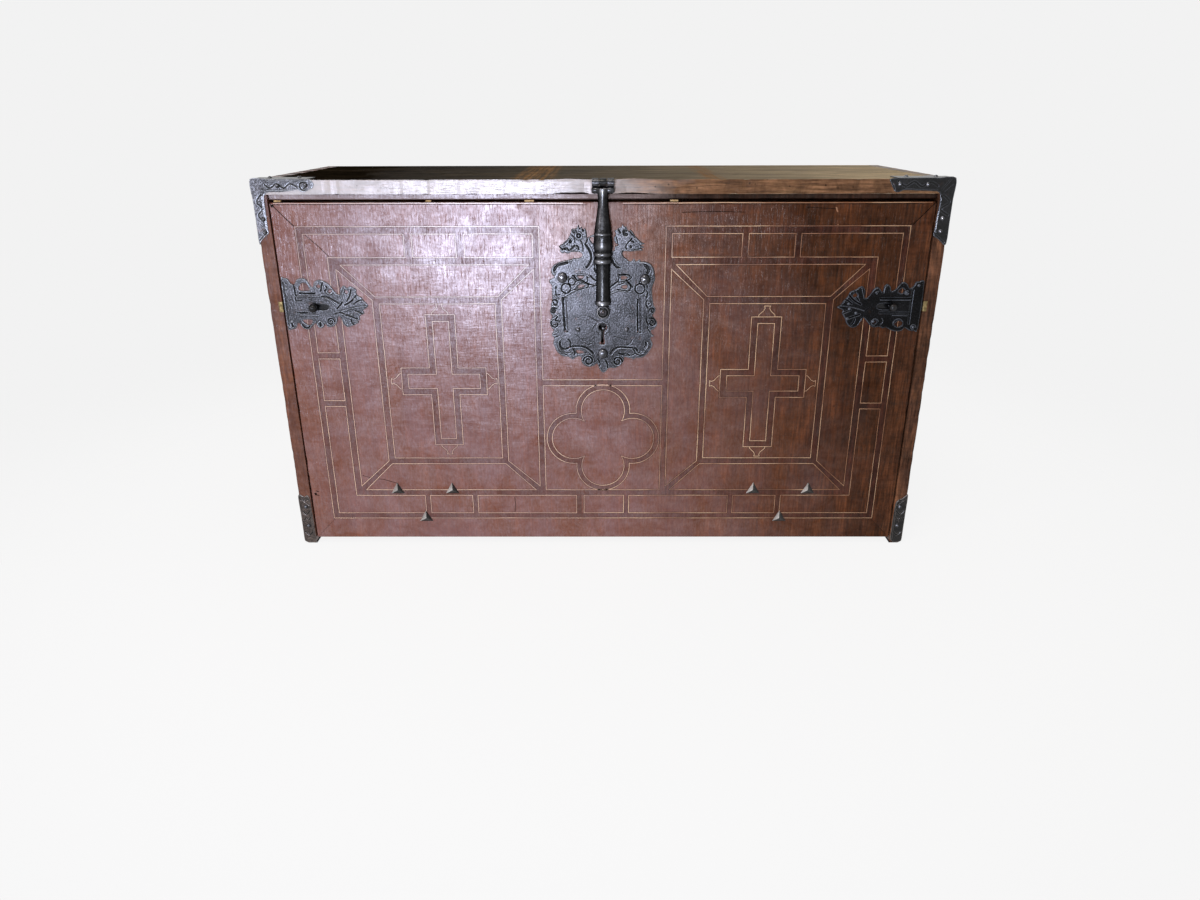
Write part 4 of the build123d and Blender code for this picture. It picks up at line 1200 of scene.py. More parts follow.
def reliefShell(loops, holes, cuts, look):
    # loops are joined into one outline, holes are taken out of it and cuts shape its face
    allX = [p[0] for loop in loops for p in loop]
    allZ = [p[1] for loop in loops for p in loop]
    cell = look["cell"]
    xs = np.arange(min(allX) - 2 * cell, max(allX) + 3 * cell, cell)
    zs = np.arange(min(allZ) - 2 * cell, max(allZ) + 3 * cell, cell)
    x, z = np.meshgrid(xs, zs)
    outline = np.full(x.shape, 1e6)
    for loop in loops:
        outline = np.minimum(outline, loopDistance(x, z, smoothRoute(loop, True, 3)))
    for hole in holes:
        outline = np.maximum(outline, -loopDistance(x, z, smoothRoute(hole, True, 3)))
    rounding = np.clip(-outline / look["round"], 0, 1)
    height = look["rim"] + (look["thick"] - look["rim"]) * np.sqrt(1 - (1 - rounding) ** 2)
    carve(x, z, height, cuts)
    inside = outline < 0
    number = np.full(outline.shape, -1)
    number[inside] = np.arange(inside.sum())
    points = []
    for j, i in zip(*np.nonzero(inside)):
        beaten = noise.noise(Vector((xs[i] * 0.13, zs[j] * 0.13, 3.0)))
        punched = noise.noise(Vector((xs[i] * 0.55, zs[j] * 0.55, 8.0)))
        points.append((xs[i], zs[j], height[j, i] + look["beaten"] * beaten + look["punched"] * punched))
    sw, se, ne, nw = inside[:-1, :-1], inside[:-1, 1:], inside[1:, 1:], inside[1:, :-1]
    full = sw & se & ne & nw
    faces = [
        tuple(int(n) for n in four)
        for four in zip(
            number[:-1, :-1][full], number[:-1, 1:][full], number[1:, 1:][full], number[1:, :-1][full]
        )
    ]
    crossings = {}
    for j, i in zip(*np.nonzero((sw | se | ne | nw) & ~full)):
        corners = [(j, i), (j, i + 1), (j + 1, i + 1), (j + 1, i)]
        loop = []
        for a, b in zip(corners, corners[1:] + corners[:1]):
            if inside[a]:
                loop.append(int(number[a]))
            if inside[a] != inside[b]:
                key = (min(a, b), max(a, b))
                if key not in crossings:
                    t = min(0.93, max(0.07, outline[a] / (outline[a] - outline[b])))
                    crossings[key] = len(points)
                    points.append((
                        xs[a[1]] + (xs[b[1]] - xs[a[1]]) * t,
                        zs[a[0]] + (zs[b[0]] - zs[a[0]]) * t,
                        height[a] + (height[b] - height[a]) * t,
                    ))
                loop.append(crossings[key])
        faces.append(tuple(loop))
    directed = {(a, b) for face in faces for a, b in zip(face, face[1:] + face[:1])}
    rim = [(a, b) for a, b in directed if (b, a) not in directed]
    count = len(points)
    vertices = [(px * mm, fallFace - rise * mm, pz * mm) for px, pz, rise in points]
    vertices += [(px * mm, fallFace + look["seat"] * mm, pz * mm) for px, pz, _ in points]
    faces += [tuple(n + count for n in reversed(face)) for face in faces]
    faces += [(b, a, a + count, b + count) for a, b in sorted(rim)]
    return vertices, faces


def lathe(profile, origin, axis, segments=32, flatten=None):
    # profile runs (radius, distance along the axis); both ends close on the axis
    axis = Vector(axis).normalized()
    side = axis.orthogonal().normalized()
    up = axis.cross(side)
    vertices, faces = [], []
    rings = len(profile)
    for radius, along in profile:
        for k in range(segments):
            angle = 2 * math.pi * k / segments
            spot = Vector(origin) + axis * along + (side * math.cos(angle) + up * math.sin(angle)) * radius
            vertices.append(spot)
    for i in range(rings - 1):
        for k in range(segments):
            a, b = i * segments + k, i * segments + (k + 1) % segments
            faces.append((a, b, b + segments, a + segments))
    faces.append(tuple(reversed(range(segments))))
    faces.append(tuple(range((rings - 1) * segments, rings * segments)))
    if flatten is not None:
        for v in vertices:
            v.y = min(v.y, flatten)
    return [v * mm for v in vertices], faces


def prism(outline, low, high, axis):
    # outline in the two other axes, in order; closed at both ends
    vertices = []
    for level in (low, high):
        for a, b in outline:
            spot = [a, b]
            spot.insert(axis, level)
            vertices.append(Vector(spot) * mm)
    count = len(outline)
    faces = [tuple(reversed(range(count))), tuple(range(count, 2 * count))]
    faces += [(k, (k + 1) % count, (k + 1) % count + count, k + count) for k in range(count)]
    return vertices, faces


def sleeve(outer, inner, low, high, axis):
    # a prism with a hole through it; outer and inner have as many points
    vertices = []
    for level in (low, high):
        for outline in (outer, inner):
            for a, b in outline:
                spot = [a, b]
                spot.insert(axis, level)
                vertices.append(Vector(spot) * mm)
    n = len(outer)
    faces = []
    for k in range(n):
        j = (k + 1) % n
        faces.append((k, j, n + j, n + k))
        faces.append((2 * n + j, 2 * n + k, 3 * n + k, 3 * n + j))
        faces.append((j, k, 2 * n + k, 2 * n + j))
        faces.append((n + k, n + j, 3 * n + j, 3 * n + k))
    return vertices, faces


plateLook = {
    # mm
    "cell": 0.56,  # of the grid that the relief is cut from
    "thick": 2.6,
    "rim": 0.8,
    "round": 1.5,
    "seat": 0.3,  # how far it goes into the wood
    "beaten": 0.05,
    "punched": 0.18,
}

# lock plate: two beasts' heads over a scrolled shield
lockLeft = [
    (1, 500), (-9, 500), (-10, 505), (-9.2, 514), (-9.6, 522.4), (-13.5, 524), (-19, 521.6), (-22.8, 519),
    (-23.6, 524), (-24.4, 529), (-26.6, 533.4), (-29.3, 531.6), (-31.5, 535.6), (-34.2, 533.2), (-35.9, 539),
    (-39, 534), (-43, 532.4), (-46, 533), (-47.4, 529.6), (-48.9, 525), (-51.9, 519.6), (-54.5, 516.6),
    (-60, 511.6), (-65.2, 508), (-66.8, 505.7), (-64.2, 502.8), (-65.4, 499.6), (-61.4, 496), (-57.6, 497.4),
    (-53.5, 495.6), (-47, 498), (-37, 498.2), (-32.2, 496.6), (-30.8, 493.4), (-33.4, 490.2), (-38.5, 488.8),
    (-44, 489.2), (-48, 487.4), (-54.3, 486.2), (-61, 484.6), (-68.8, 482.2), (-76, 478), (-79.2, 472.6),
    (-79.4, 467), (-77, 463), (-74.6, 460.6), (-78.6, 458.4), (-82.8, 456), (-82, 451.4), (-79.2, 447.4),
    (-78.8, 436), (-79, 425), (-80.6, 419), (-81, 414.4), (-82.8, 408), (-81.2, 403), (-79.4, 400),
    (-80.4, 396.4), (-83, 391.6), (-83.2, 386.4), (-80.8, 381.4), (-77.6, 377.8), (-79.8, 373),
    (-80.4, 368.8),
    (-77.2, 364.8), (-78.8, 356.4), (-76.4, 350.6), (-73.8, 344), (-69, 338.6), (-62.4, 334.8), (-55, 334.4),
    (-51, 331.6), (-47.4, 329.8), (-43.4, 332.8), (-37.6, 335.2), (-34, 333), (-34, 327.6), (-30.4, 321.2),
    (-22.6, 317.8), (-14.4, 319.4), (-9, 323.4), (-6.8, 319.6), (-4.6, 314), (-1.6, 309.6), (1.4, 308.2),
]
lockRight = [
    (5, 309.6), (8, 313.6), (11.6, 316), (17, 315.8), (22.6, 316.8), (30.4, 321.4), (34, 327.6),
    (35.4, 333.8),
    (41.7, 332.6), (47, 331.4), (50, 329.8), (54.6, 332.8), (62.5, 332.6), (69.8, 337), (75.6, 344),
    (79.2, 350.6),
    (80.2, 356), (77.2, 362.4), (77.4, 366), (82, 367.6), (78.6, 372), (76.6, 376.6), (82, 379.6),
    (86, 384.6),
    (86.4, 390), (83, 395.6), (79, 400), (80.6, 403.4), (83, 407), (83.2, 412), (80.4, 417), (79.2, 424),
    (77.8, 434), (77.6, 444), (80.6, 452.6), (82, 458), (81, 465), (80.2, 471.2), (77, 477.4), (72.2, 481.4),
    (64.4, 484), (59, 484), (57.6, 487.4), (54.4, 485), (51, 484.6), (48.6, 488), (44.6, 484.6), (40.6, 485),
    (37.4, 488), (33.2, 491), (31.2, 496), (33.6, 499.2), (44, 498.6), (54, 500), (62.6, 500.4), (60, 503),
    (64, 505.6), (59, 508), (64.8, 510.4), (58.8, 513.4), (52.6, 519.2), (49.6, 522.6), (46.4, 527.6),
    (42.6, 531.4), (41, 528.6), (37.6, 532), (36.2, 536), (33, 535.6), (30.8, 539.6), (29, 535.4),
    (25, 533.6),
    (22, 531), (18.4, 529.4), (20.2, 524.6), (17.4, 517.2), (20.6, 511), (24.6, 508.6), (19, 506),
    (17.6, 500),
]


def flaredKeyhole(middle, bottom):
    x, z = middle
    return [
        (x - 2.2, z - 5.6), (x - 5.4, z - 3), (x - 6.3, z + 0.6), (x - 4.6, z + 4.4), (x, z + 6.3),
        (x + 4.6, z + 4.4),
        (x + 6.3, z + 0.6), (x + 5.4, z - 3), (x + 2.2, z - 5.6), (x + 2.4, bottom + 8),
        (x + 3.4, bottom + 2),
        (x + 2, bottom), (x - 4.6, bottom), (x - 5.8, bottom + 2), (x - 2.6, bottom + 5),
        (x - 2.4, bottom + 12),
    ]


lockHoles = [
    flaredKeyhole((0.6, 381.6), 355),
    [(-1.8, 398.6), (3.8, 398.6), (3.8, 416.4), (-1.8, 416.4)],
    [(-38.6, 461), (-35, 458.2), (-31, 458.4), (-29.4, 460.6), (-33, 462.2)],
    [(-36, 447.6), (-32, 448.8), (-27.4, 447.4), (-31, 445.4), (-37, 443.4), (-38, 445)],
    [(29, 457.4), (29.6, 461.4), (35.4, 461.6), (38.6, 459.2), (34, 456.8)],
    [(29.6, 444.6), (32.4, 447.4), (37.6, 447.6), (38.6, 444.6), (36.4, 442.8), (32.6, 442.8)],
    [(-42.6, 344), (-38, 345), (-31.4, 343.4), (-30, 341.4), (-34, 340.2), (-40, 340.4)],
    [(-19.4, 518.2), (-15, 520.6), (-12.6, 518), (-12.4, 511.6), (-15, 511.4)],
]

# chiselled lines and raised scrolls: (points, half width, rise)
lockCuts = [
    # left beast
    ([(-54.3, 482.4), (-61.6, 480.6), (-68.6, 478.6), (-72.4, 475), (-74.2, 471.4)], 1.9, -1.5),
    ([(-48, 486), (-56, 484.2), (-64, 482.8), (-71, 480.6), (-76, 476.4), (-77.4, 470),
        (-74.6, 465.4)], 1.5, 0.7),
    ([(-24.7, 508.1), (-19.9, 500.9), (-17.5, 493.7), (-17.5, 487.3), (-20.7, 480.1),
        (-25, 475.4)], 1.3, -1.6),
    ([(-21.5, 509.4), (-16.7, 501.6), (-14.3, 494.2), (-14.3, 486.6), (-17.4, 478.6), (-23, 473)], 1.1, 0.6),
    ([(-26.4, 509.4), (-24.4, 512.6), (-22.6, 517)], 1.0, -0.9),
    ([(-9.4, 484.6), (-12, 480), (-12, 473), (-8.6, 467)], 1.1, -1.3),
    ([(-18, 463), (-15, 458.6), (-10, 455.4)], 1.0, -1.1),
    ([(-60.8, 501.7), (-55, 504.6), (-50.6, 500.4), (-46.3, 504.4), (-41.5, 508.1), (-37, 506.4),
        (-36.4, 502)], 0.9, -1.1),
    ([(-49, 501), (-45, 502), (-40, 505)], 1.2, 0.6),
    ([(-65.8, 505.2), (-61, 502.8), (-55.8, 502)], 0.9, -1.2),
    ([(-50.2, 517), (-54, 512), (-60, 507.6)], 1.4, 0.7),
    (ring((-36, 522.4), 4.7), 1.2, 0.6),
    (ring((-36, 522.4), 2.6), 1.1, -1.4),
    # straps round the small openings
    ([(-44, 463.4), (-39.4, 456.6), (-33, 456.4), (-26.4, 453), (-22.6, 455.6), (-24, 461.6)], 0.8, -1.1),
    ([(-44, 441.6), (-38, 441.2), (-30, 443.4), (-22.4, 445.6), (-23.4, 450.4), (-34, 451.6)], 0.8, -1.1),
    ([(24.4, 452.8), (31, 453.6), (37.6, 455.2), (45, 459.8), (38, 464.4), (26, 464.4)], 0.8, -1.1),
    ([(23.4, 441.6), (33, 440), (41.6, 439.6), (44, 445), (42, 450.6), (34, 451.4), (26.6, 449)], 0.8, -1.1),
    ([(26, 340), (34, 337.6), (47, 337.4), (53, 341.4), (49.6, 346.4)], 0.8, -1.1),
    (ring((0.6, 381.6), 9.2), 1.8, 0.5),
    ([(-48.9, 513.8), (-48.7, 514.4)], 2.0, -1.7),
    ([(-45.4, 531), (-43.2, 527.6)], 1.5, -1.3),
    ([(-35.2, 536.6), (-34.8, 532.4)], 1.0, -1.2),
    ([(-30, 534), (-29, 529.6)], 1.4, -1.4),
    ([(-41, 531), (-38, 526)], 0.8, -0.8),
    ([(-47, 524), (-43, 519), (-42, 513)], 0.8, -0.7),
    ([(-33, 515), (-30, 508), (-29.6, 500)], 0.8, -0.6),
    # right beast
    ([(66, 478), (69, 475.4), (71.4, 471), (70, 467)], 2.0, -1.5),
    ([(58, 482), (66, 481.8), (73, 478.4), (77.6, 471), (78, 464)], 1.5, 0.7),
    ([(15.6, 484.6), (18, 479.4), (22, 475.6), (28, 475.2)], 1.1, -1.5),
    ([(17.4, 487), (20, 482), (24, 478.4)], 1.0, 0.6),
    ([(31.6, 500), (30.8, 496), (32.6, 491.6), (36, 489.4)], 1.1, -0.8),
    ([(37, 503.4), (36, 506.6), (39.6, 512.4), (44, 516.6)], 0.9, -1.1),
    ([(43.6, 506.4), (43.4, 505.8)], 1.8, -1.6),
    ([(44.9, 518), (44, 515.2), (48, 513)], 1.2, -1.3),
    ([(50, 519), (56, 512.6), (61, 508)], 1.3, 0.7),
    ([(33, 529), (33.6, 524.6), (36.6, 524)], 2.2, -1.5),
    ([(24.6, 531), (27.4, 526.6)], 1.3, -1.3),
    ([(35.6, 534), (37, 529)], 0.9, -1.1),
    ([(42, 528), (46, 523.4), (50, 519.6)], 0.9, -1.2),
    ([(62, 503.8), (55, 502.4), (48, 501)], 0.8, -1.0),
    ([(39, 486), (41, 489), (43.6, 486.6), (41.6, 485)], 0.8, -0.9),
    ([(20.6, 521), (23, 514), (22, 509)], 0.7, -0.6),
    # straps and rings between the heads and the field
    ([(-46, 463), (-42.6, 459.4), (-40.6, 456.6)], 0.9, -1.3),
    ([(-41, 454.6), (-36, 455), (-29, 453.6), (-23, 450.8), (-12, 447.4)], 0.9, -1.2),
    ([(-58.4, 432), (-52, 436.2), (-45, 439.4), (-38, 442), (-24, 446), (-11.6, 448.6)], 1.4, 0.9),
    ([(-40, 464.6), (-33, 465), (-26, 464), (-20, 461)], 1.3, 0.5),
    ([(-36.6, 451.4), (-41, 447), (-44.6, 443)], 1.3, 0.6),
    (ring((-56.7, 443.4), 7.4), 1.0, -1.3),
    (ring((-47.4, 453.6), 5.4), 0.9, -0.8),
    ([(-53, 451.6), (-52, 456), (-52.4, 461)], 0.8, -0.7),
    ([(14, 447), (20, 451.4), (25, 455.2), (27, 463.6), (37, 463.8)], 0.9, -1.0),
    ([(37.4, 455.8), (41.6, 451), (46.6, 445.6)], 1.2, -1.3),
    ([(35.6, 453.2), (39, 450.6)], 1.4, 0.7),
    ([(12.6, 443), (18, 446.6), (24.4, 451.6)], 1.5, 0.9),
    ([(13.4, 436), (19.6, 438.4), (24, 439.6)], 1.3, 0.9),
    ([(25, 440.4), (34, 439), (45, 438.4)], 1.2, 0.5),
    (ring((58.6, 442.6), 7.6), 1.0, -1.3),
    ([(59, 455), (57.4, 451.4), (60, 449)], 0.8, -0.8),
    ([(66.6, 447), (68.6, 440), (67.4, 432)], 1.2, 0.7),
    # sunk bars beside the field
    ([(-62, 428.6), (-61.2, 404), (-59.6, 376)], 1.5, -1.7),
    ([(-58.8, 427), (-58, 404), (-56.6, 378)], 2.4, -0.8),
    ([(-55.2, 375.4), (-59.8, 375.2)], 1.0, -1.3),
    ([(54.8, 426), (55.2, 404), (56.2, 375)], 1.1, -1.6),
    ([(58.6, 425), (58.8, 404), (59.2, 378)], 2.6, -0.7),
    ([(55.8, 374.6), (61, 374.4)], 1.1, -1.3),
    # scrolls down the left edge
    ([(-72.4, 446), (-72.6, 434.4), (-66.8, 433.8)], 1.0, -1.3),
    ([(-77.6, 431), (-74, 431.6), (-69.6, 428.6)], 1.0, 0.8),
    (spiral((-74.4, 421), 5.0, 2.2, 150, -0.95), 0.9, -1.2),
    ([(-80, 414.8), (-75, 415.2), (-70.6, 414.6)], 1.3, 1.0),
    (spiral((-77, 408.6), 5.2, 0.8, 40, 1.5), 1.0, -1.2),
    ([(-68.8, 402.4), (-73, 399), (-78.6, 395.6)], 1.3, 1.0),
    ([(-70.4, 399.8), (-73.4, 396), (-73.4, 392.6), (-67, 392.4)], 1.0, -1.3),
    (spiral((-74.6, 388), 7.0, 3.2, 150, 0.62), 1.0, -1.3),
    (spiral((-74.6, 388), 4.9, 1.6, 160, 0.60), 0.9, 0.9),
    ([(-74, 388.6), (-68, 388.4)], 1.0, 1.0),
    ([(-77.6, 372.6), (-73, 373.8), (-70.6, 376)], 1.0, 0.8),
    ([(-80, 366.6), (-75, 366.8), (-70, 368.6)], 0.9, -1.0),
    # scrolls down the right edge
    ([(70.6, 447), (69, 440), (70.8, 434), (69, 428)], 0.9, -1.2),
    ([(69.6, 424), (68.4, 418), (71.4, 412.6)], 1.1, -1.2),
    (ring((72.6, 419.4), 2.6), 1.0, 0.8),
    (spiral((78.2, 408.4), 5.0, 1.0, 200, -1.2), 1.1, -1.4),
    ([(69.4, 398.6), (69.6, 392), (72.4, 386.4), (71.4, 380)], 1.1, -1.3),
    (spiral((78.4, 390), 7.0, 1.4, 120, -1.25), 1.1, -1.4),
    (spiral((78.4, 390), 5.2, 1.0, 100, -1.1), 0.9, 0.9),
    ([(73, 378.6), (76, 374), (80.4, 370)], 0.9, -1.0),
    # lower straps with their curls
    (spiral((-60, 355.6), 9.2, 7.6, 55, -0.72), 1.0, -1.3),
    (spiral((-60, 355.6), 11.6, 10.6, 250, -0.35), 1.2, 0.8),
    ([(-57, 348.2), (-47.1, 352), (-36, 352.2), (-27.9, 350.6), (-21, 346.4), (-14.4, 341)], 1.1, -1.3),
    ([(-46, 349.6), (-36, 350), (-28, 347.6), (-22, 343.4), (-16.8, 338)], 1.3, 0.9),
    ([(-68, 345.6), (-62, 341), (-55, 339.4), (-50, 341)], 1.3, 0.9),
    ([(-64, 342.4), (-58, 338.4), (-52, 337.8)], 0.8, -0.8),
    ([(-46.4, 346.6), (-44.4, 342.4), (-45, 338)], 1.1, -1.2),
    ([(-34, 341.6), (-26, 341.4)], 0.9, -0.8),
    (spiral((60, 355), 9.4, 8.6, 20, -0.15), 1.0, -1.3),
    (spiral((60, 355), 12.6, 12.6, 10, -0.26), 1.4, 0.9),
    ([(47.4, 362), (44, 356.6), (39, 354)], 0.8, -0.7),
    ([(12.6, 339.6), (16, 345), (20.8, 349), (28, 350.6), (40, 349.8), (52, 348.8), (56, 345)], 1.2, -1.3),
    ([(15, 336.6), (19, 342.6), (24, 346.8), (32, 348.6), (50, 347.4)], 1.2, 0.8),
    ([(25.4, 340.8), (33, 340.2), (39, 340), (43, 336.8)], 0.9, -1.0),
    ([(53, 344), (57, 340.4), (64, 339.6), (68, 344)], 1.2, 0.9),
    ([(52, 342), (56, 338)], 0.9, -1.1),
    # foot scrolls
    (spiral((-22.6, 328), 8.6, 2.6, 175, -1.3), 1.1, -1.2),
    (spiral((-22.6, 328), 10.4, 5.4, 190, -1.1), 1.0, 0.7),
    (spiral((24.4, 326.8), 8.0, 2.2, 0, 1.25), 1.1, -1.2),
    (spiral((24.4, 326.8), 9.8, 5.0, -10, 1.1), 1.0, 0.7),
    ([(5.4, 328), (8.2, 322), (8, 316.6)], 1.1, -1.3),
    ([(-7.4, 331), (-4.2, 325), (-4.6, 319.6)], 1.0, -1.0),
    ([(19.4, 332), (18.8, 327)], 1.1, -1.2),
    # worn lip of the keyhole and scratches in the field
    ([(-12, 387.6), (-16, 383), (-16.4, 378)], 1.0, 0.5),
    ([(-22, 400), (-8, 392)], 0.5, -0.4),
    ([(9, 395), (15, 388)], 0.6, 0.4),
    ([(-44, 372), (-30, 360)], 0.5, -0.3),
    ([(18, 368), (40, 362)], 0.6, -0.35),
]
lockShell = reliefShell([lockLeft + lockRight], lockHoles, lockCuts, plateLook)
lockPlate = joinPiece("lockPlate", [lockShell], chasedIron, "fall", 50)
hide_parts("lock_plate")
print("lock plate chased")

# domed studs and the two small rivets of the lock plate
plateFace = fallFace / mm - plateLook["thick"]
shells = []
for x, z in ((-62, 460), (66, 457), (0.7, 340)):
    angles = [math.radians(angle) for angle in range(0, 86, 8)]
    dome = [(8.2 * math.cos(angle) ** 0.8, 0.4 + 5.8 * math.sin(angle)) for angle in angles]
    dome = [(8.2, -0.4)] + dome + [(0.4, 6.22)]
    shells.append(lathe(dome, (x, plateFace, z), (0, -1, 0), 36))
for x, z in ((-38.5, 379), (38.5, 379)):
    cap = [(4.0, -0.4), (3.9, 0.4), (3.0, 1.4), (1.6, 2.0), (0.3, 2.2)]
    shells.append(lathe(cap, (x, plateFace, z), (0, -1, 0), 20))
pin = [(2.5, 0), (2.4, 4.2), (1.9, 4.8), (0.2, 5.0)]
shells.append(lathe(pin, (1.4, fallFace / mm + 2.5, 380.4), (0, -1, 0), 18))
lockStuds = joinPiece("lockStuds", shells, nailIron, "fall", 45)
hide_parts("lock_plate_studs")

# bolt plates: a scrolled strap that ends in a leaf, one drawing for each side
boltLeft = [
    (-500.4, 459.6), (-496.6, 460), (-489.6, 458.4), (-486.4, 452), (-482, 449.6), (-478.8, 452.6),
    (-476.4, 457),
    (-469.7, 459.4), (-462.4, 458.4), (-458.2, 453), (-454.6, 446.4), (-451.4, 446.6), (-450, 452.6),
    (-444.7, 456.2), (-438.4, 456.6), (-431.6, 453.6), (-425.4, 449), (-420.7, 442), (-415.8, 435.6),
    (-411, 434.6),
    (-410.6, 440), (-407.8, 445), (-403.6, 448), (-399, 444.4), (-394, 447), (-389, 445), (-384.6, 441.6),
    (-385.4, 436), (-383, 432.4), (-377.6, 429.6), (-375.4, 425), (-371.4, 421.6), (-368.9, 416),
    (-373.6, 412),
    (-377.4, 409.6), (-376, 404.6), (-381, 402), (-384.4, 399), (-384, 394.4), (-389.4, 392), (-390.6, 387.6),
    (-398.4, 384.4), (-406.2, 383), (-411.4, 388.4), (-413, 394.4), (-416, 400.2), (-418.8, 398),
    (-420.4, 391),
    (-425.2, 385.4), (-430.6, 383), (-437, 383.4), (-440, 388), (-442.6, 383.4), (-447, 381), (-452.4, 383.2),
    (-455.2, 389), (-459.6, 385.2), (-464.6, 380.6), (-470.7, 379.4), (-476.4, 382.2), (-480, 388),
    (-483.4, 389.6),
    (-486, 383.4), (-489.4, 380), (-495, 379.4), (-500.4, 380.6),
]
boltRight = [
    (500.4, 380.4), (494.6, 375.8), (486.4, 376.4), (479.3, 380.6), (475.4, 376.6), (467.8, 374.8),
    (458.2, 376.6),
    (449, 381.2), (444, 379.6), (439, 382.4), (429.4, 381.4), (423.4, 385.2), (417.8, 391), (412, 396.6),
    (408.4, 391.6), (402.4, 382.6), (393.8, 381.4), (386.4, 387.6), (383.4, 394.6), (377.6, 403.6),
    (378, 409),
    (368.6, 412.6), (374.4, 417.4), (378.4, 423.6), (384, 430.4), (386.8, 437), (395.6, 441), (403.4, 446),
    (408.2, 442.8), (410.6, 436), (409.4, 428.6), (413.8, 427.8), (418.6, 433.4), (423.4, 442),
    (428.4, 444.8),
    (433.4, 441), (437.4, 436.4), (438.8, 445.6), (443.6, 449), (448.6, 445), (451, 438), (457, 441),
    (461.8, 447.6),
    (467.6, 452.4), (474.4, 449), (478.6, 442.6), (484.6, 445.8), (487, 452), (493, 453), (500.4, 452.4),
]
boltHoles = {
    "left": [
        rectangle(-457.1, -433.9, 410.9, 418.1),
        [(-474, 441), (-472, 449), (-467, 452.4), (-461.6, 450.4), (-458.4, 444.4), (-459, 440.4)],
        [(-446.6, 446.4), (-443, 450), (-440.4, 447), (-443, 444)],
        [(-429.4, 438.6), (-426.2, 442), (-423.4, 440), (-426.4, 436.6)],
        [(-474.8, 394), (-470, 388.4), (-464.4, 386.4), (-459.6, 391), (-461.4, 395)],
        [(-403.6, 438.6), (-400.4, 441), (-397.8, 438), (-400.8, 435.4)],
    ],
    "right": [
        rectangle(433.9, 457.1, 410.9, 418.1),
        [(461.4, 437.4), (466.6, 442.4), (471, 439.4), (468, 435)],
        [(462.4, 387), (468, 391.6), (475, 389), (472.4, 383.6), (466, 382.4)],
        [(426, 390), (430.4, 393), (433, 389.4), (429, 386.8)],
        [(391.4, 432), (396, 434.6), (398.6, 431), (394, 428.4)],
    ],
}
leafCuts = [
    ([(-411, 408), (-398, 412), (-385, 414.4), (-372, 416)], 1.2, 0.9),
    ([(-405, 418), (-394, 424), (-386, 432)], 1.1, -1.2),
    ([(-405, 402), (-396, 399), (-388, 396)], 1.1, -1.2),
    ([(-401, 424), (-396, 432), (-393, 441)], 1.0, -1.0),
    ([(-391, 419), (-384, 424), (-378, 426)], 0.9, -1.1),
    ([(-390, 409), (-383, 406), (-379, 404)], 0.9, -1.1),
    ([(-398, 395), (-397, 390), (-394, 386.4)], 1.0, -1.1),
    ([(-409, 428), (-406, 436), (-404, 443)], 0.9, 0.8),
    ([(-409, 396), (-407, 390), (-404, 386)], 0.9, 0.8),
]
boltCuts = {
    "left": leafCuts + [
        ([(-498, 452), (-497, 420), (-498, 386)], 1.4, -0.7),
        ([(-481, 450), (-480.6, 436), (-479.6, 432)], 1.0, -1.3),
        ([(-473.6, 436.4), (-450, 436)], 1.1, -1.6),
        ([(-475, 432), (-440, 431.6)], 1.1, 0.5),
        ([(-480.4, 406), (-466, 405.6)], 1.1, -1.5),
        ([(-476, 402), (-448, 402)], 1.0, 0.5),
        ([(-481, 430), (-481, 425), (-472, 425)], 0.9, -0.8),
        ([(-436, 452.4), (-438.4, 446), (-440, 440)], 1.1, -1.3),
        ([(-431, 447), (-430, 443), (-434, 440)], 1.0, -1.1),
        (spiral((-426.4, 439.6), 5.4, 4.2, 40, 0.8), 1.1, 0.8),
        ([(-440, 431), (-430, 430), (-420, 424), (-414, 420)], 1.0, -1.0),
        ([(-434, 428), (-426, 424), (-420, 418)], 0.9, 0.7),
        (spiral((-469, 387.6), 8.4, 6.6, 175, 0.5), 1.0, 1.0),
        (spiral((-469, 387.6), 6.4, 5.0, 180, 0.5), 0.9, -1.1),
        (spiral((-447, 387.4), 4.8, 3.6, 90, 0.9), 1.1, 1.0),
        ([(-447.6, 390.4), (-447.6, 384.6)], 1.0, -1.4),
        (spiral((-430.4, 391.4), 6.0, 1.4, 0, 1.4), 0.9, -1.1),
        (spiral((-493, 386.4), 5.2, 3.6, 180, 0.6), 1.1, 1.0),
        ([(-493, 389.6), (-492, 385), (-489, 384)], 1.3, -1.4),
        ([(-418, 412), (-412, 418), (-409, 422)], 1.0, -1.2),
        ([(-422, 404), (-414, 406), (-408, 404)], 0.9, -0.9),
    ],
    "right": [([(-x, z) for x, z in points], half, rise) for points, half, rise in leafCuts] + [
        ([(435, 424.6), (482, 424.4)], 1.0, 0.9),
        ([(435, 426.8), (482, 426.6)], 0.9, -1.0),
        ([(457, 400.6), (480, 400)], 1.0, 0.9),
        ([(436, 404.6), (482, 404.2)], 0.9, -1.0),
        ([(484, 440), (484, 388)], 1.0, -0.9),
        ([(452, 438.4), (458.6, 442.6), (463.6, 449.6)], 1.0, 0.9),
        ([(409.6, 429.4), (415, 429.6), (420, 436), (425, 441.6), (428.6, 443)], 1.0, 0.9),
        ([(439.4, 436), (439.8, 443), (443.6, 447)], 0.9, 0.8),
        ([(426, 436), (430, 438), (428, 434)], 1.1, 1.0),
        (spiral((466.4, 387.4), 8.6, 6.8, 0, 0.55), 1.0, 0.9),
        (spiral((430, 389.6), 6.0, 4.6, 20, 0.7), 1.0, 0.9),
        (spiral((474.6, 435.6), 3.4, 2.6, 60, 0.8), 1.0, 1.2),
        (spiral((491.6, 382), 4.4, 3.2, 0, 0.8), 1.0, 1.0),
        ([(441, 396), (443, 391), (440, 386)], 0.9, 1.0),
    ],
}
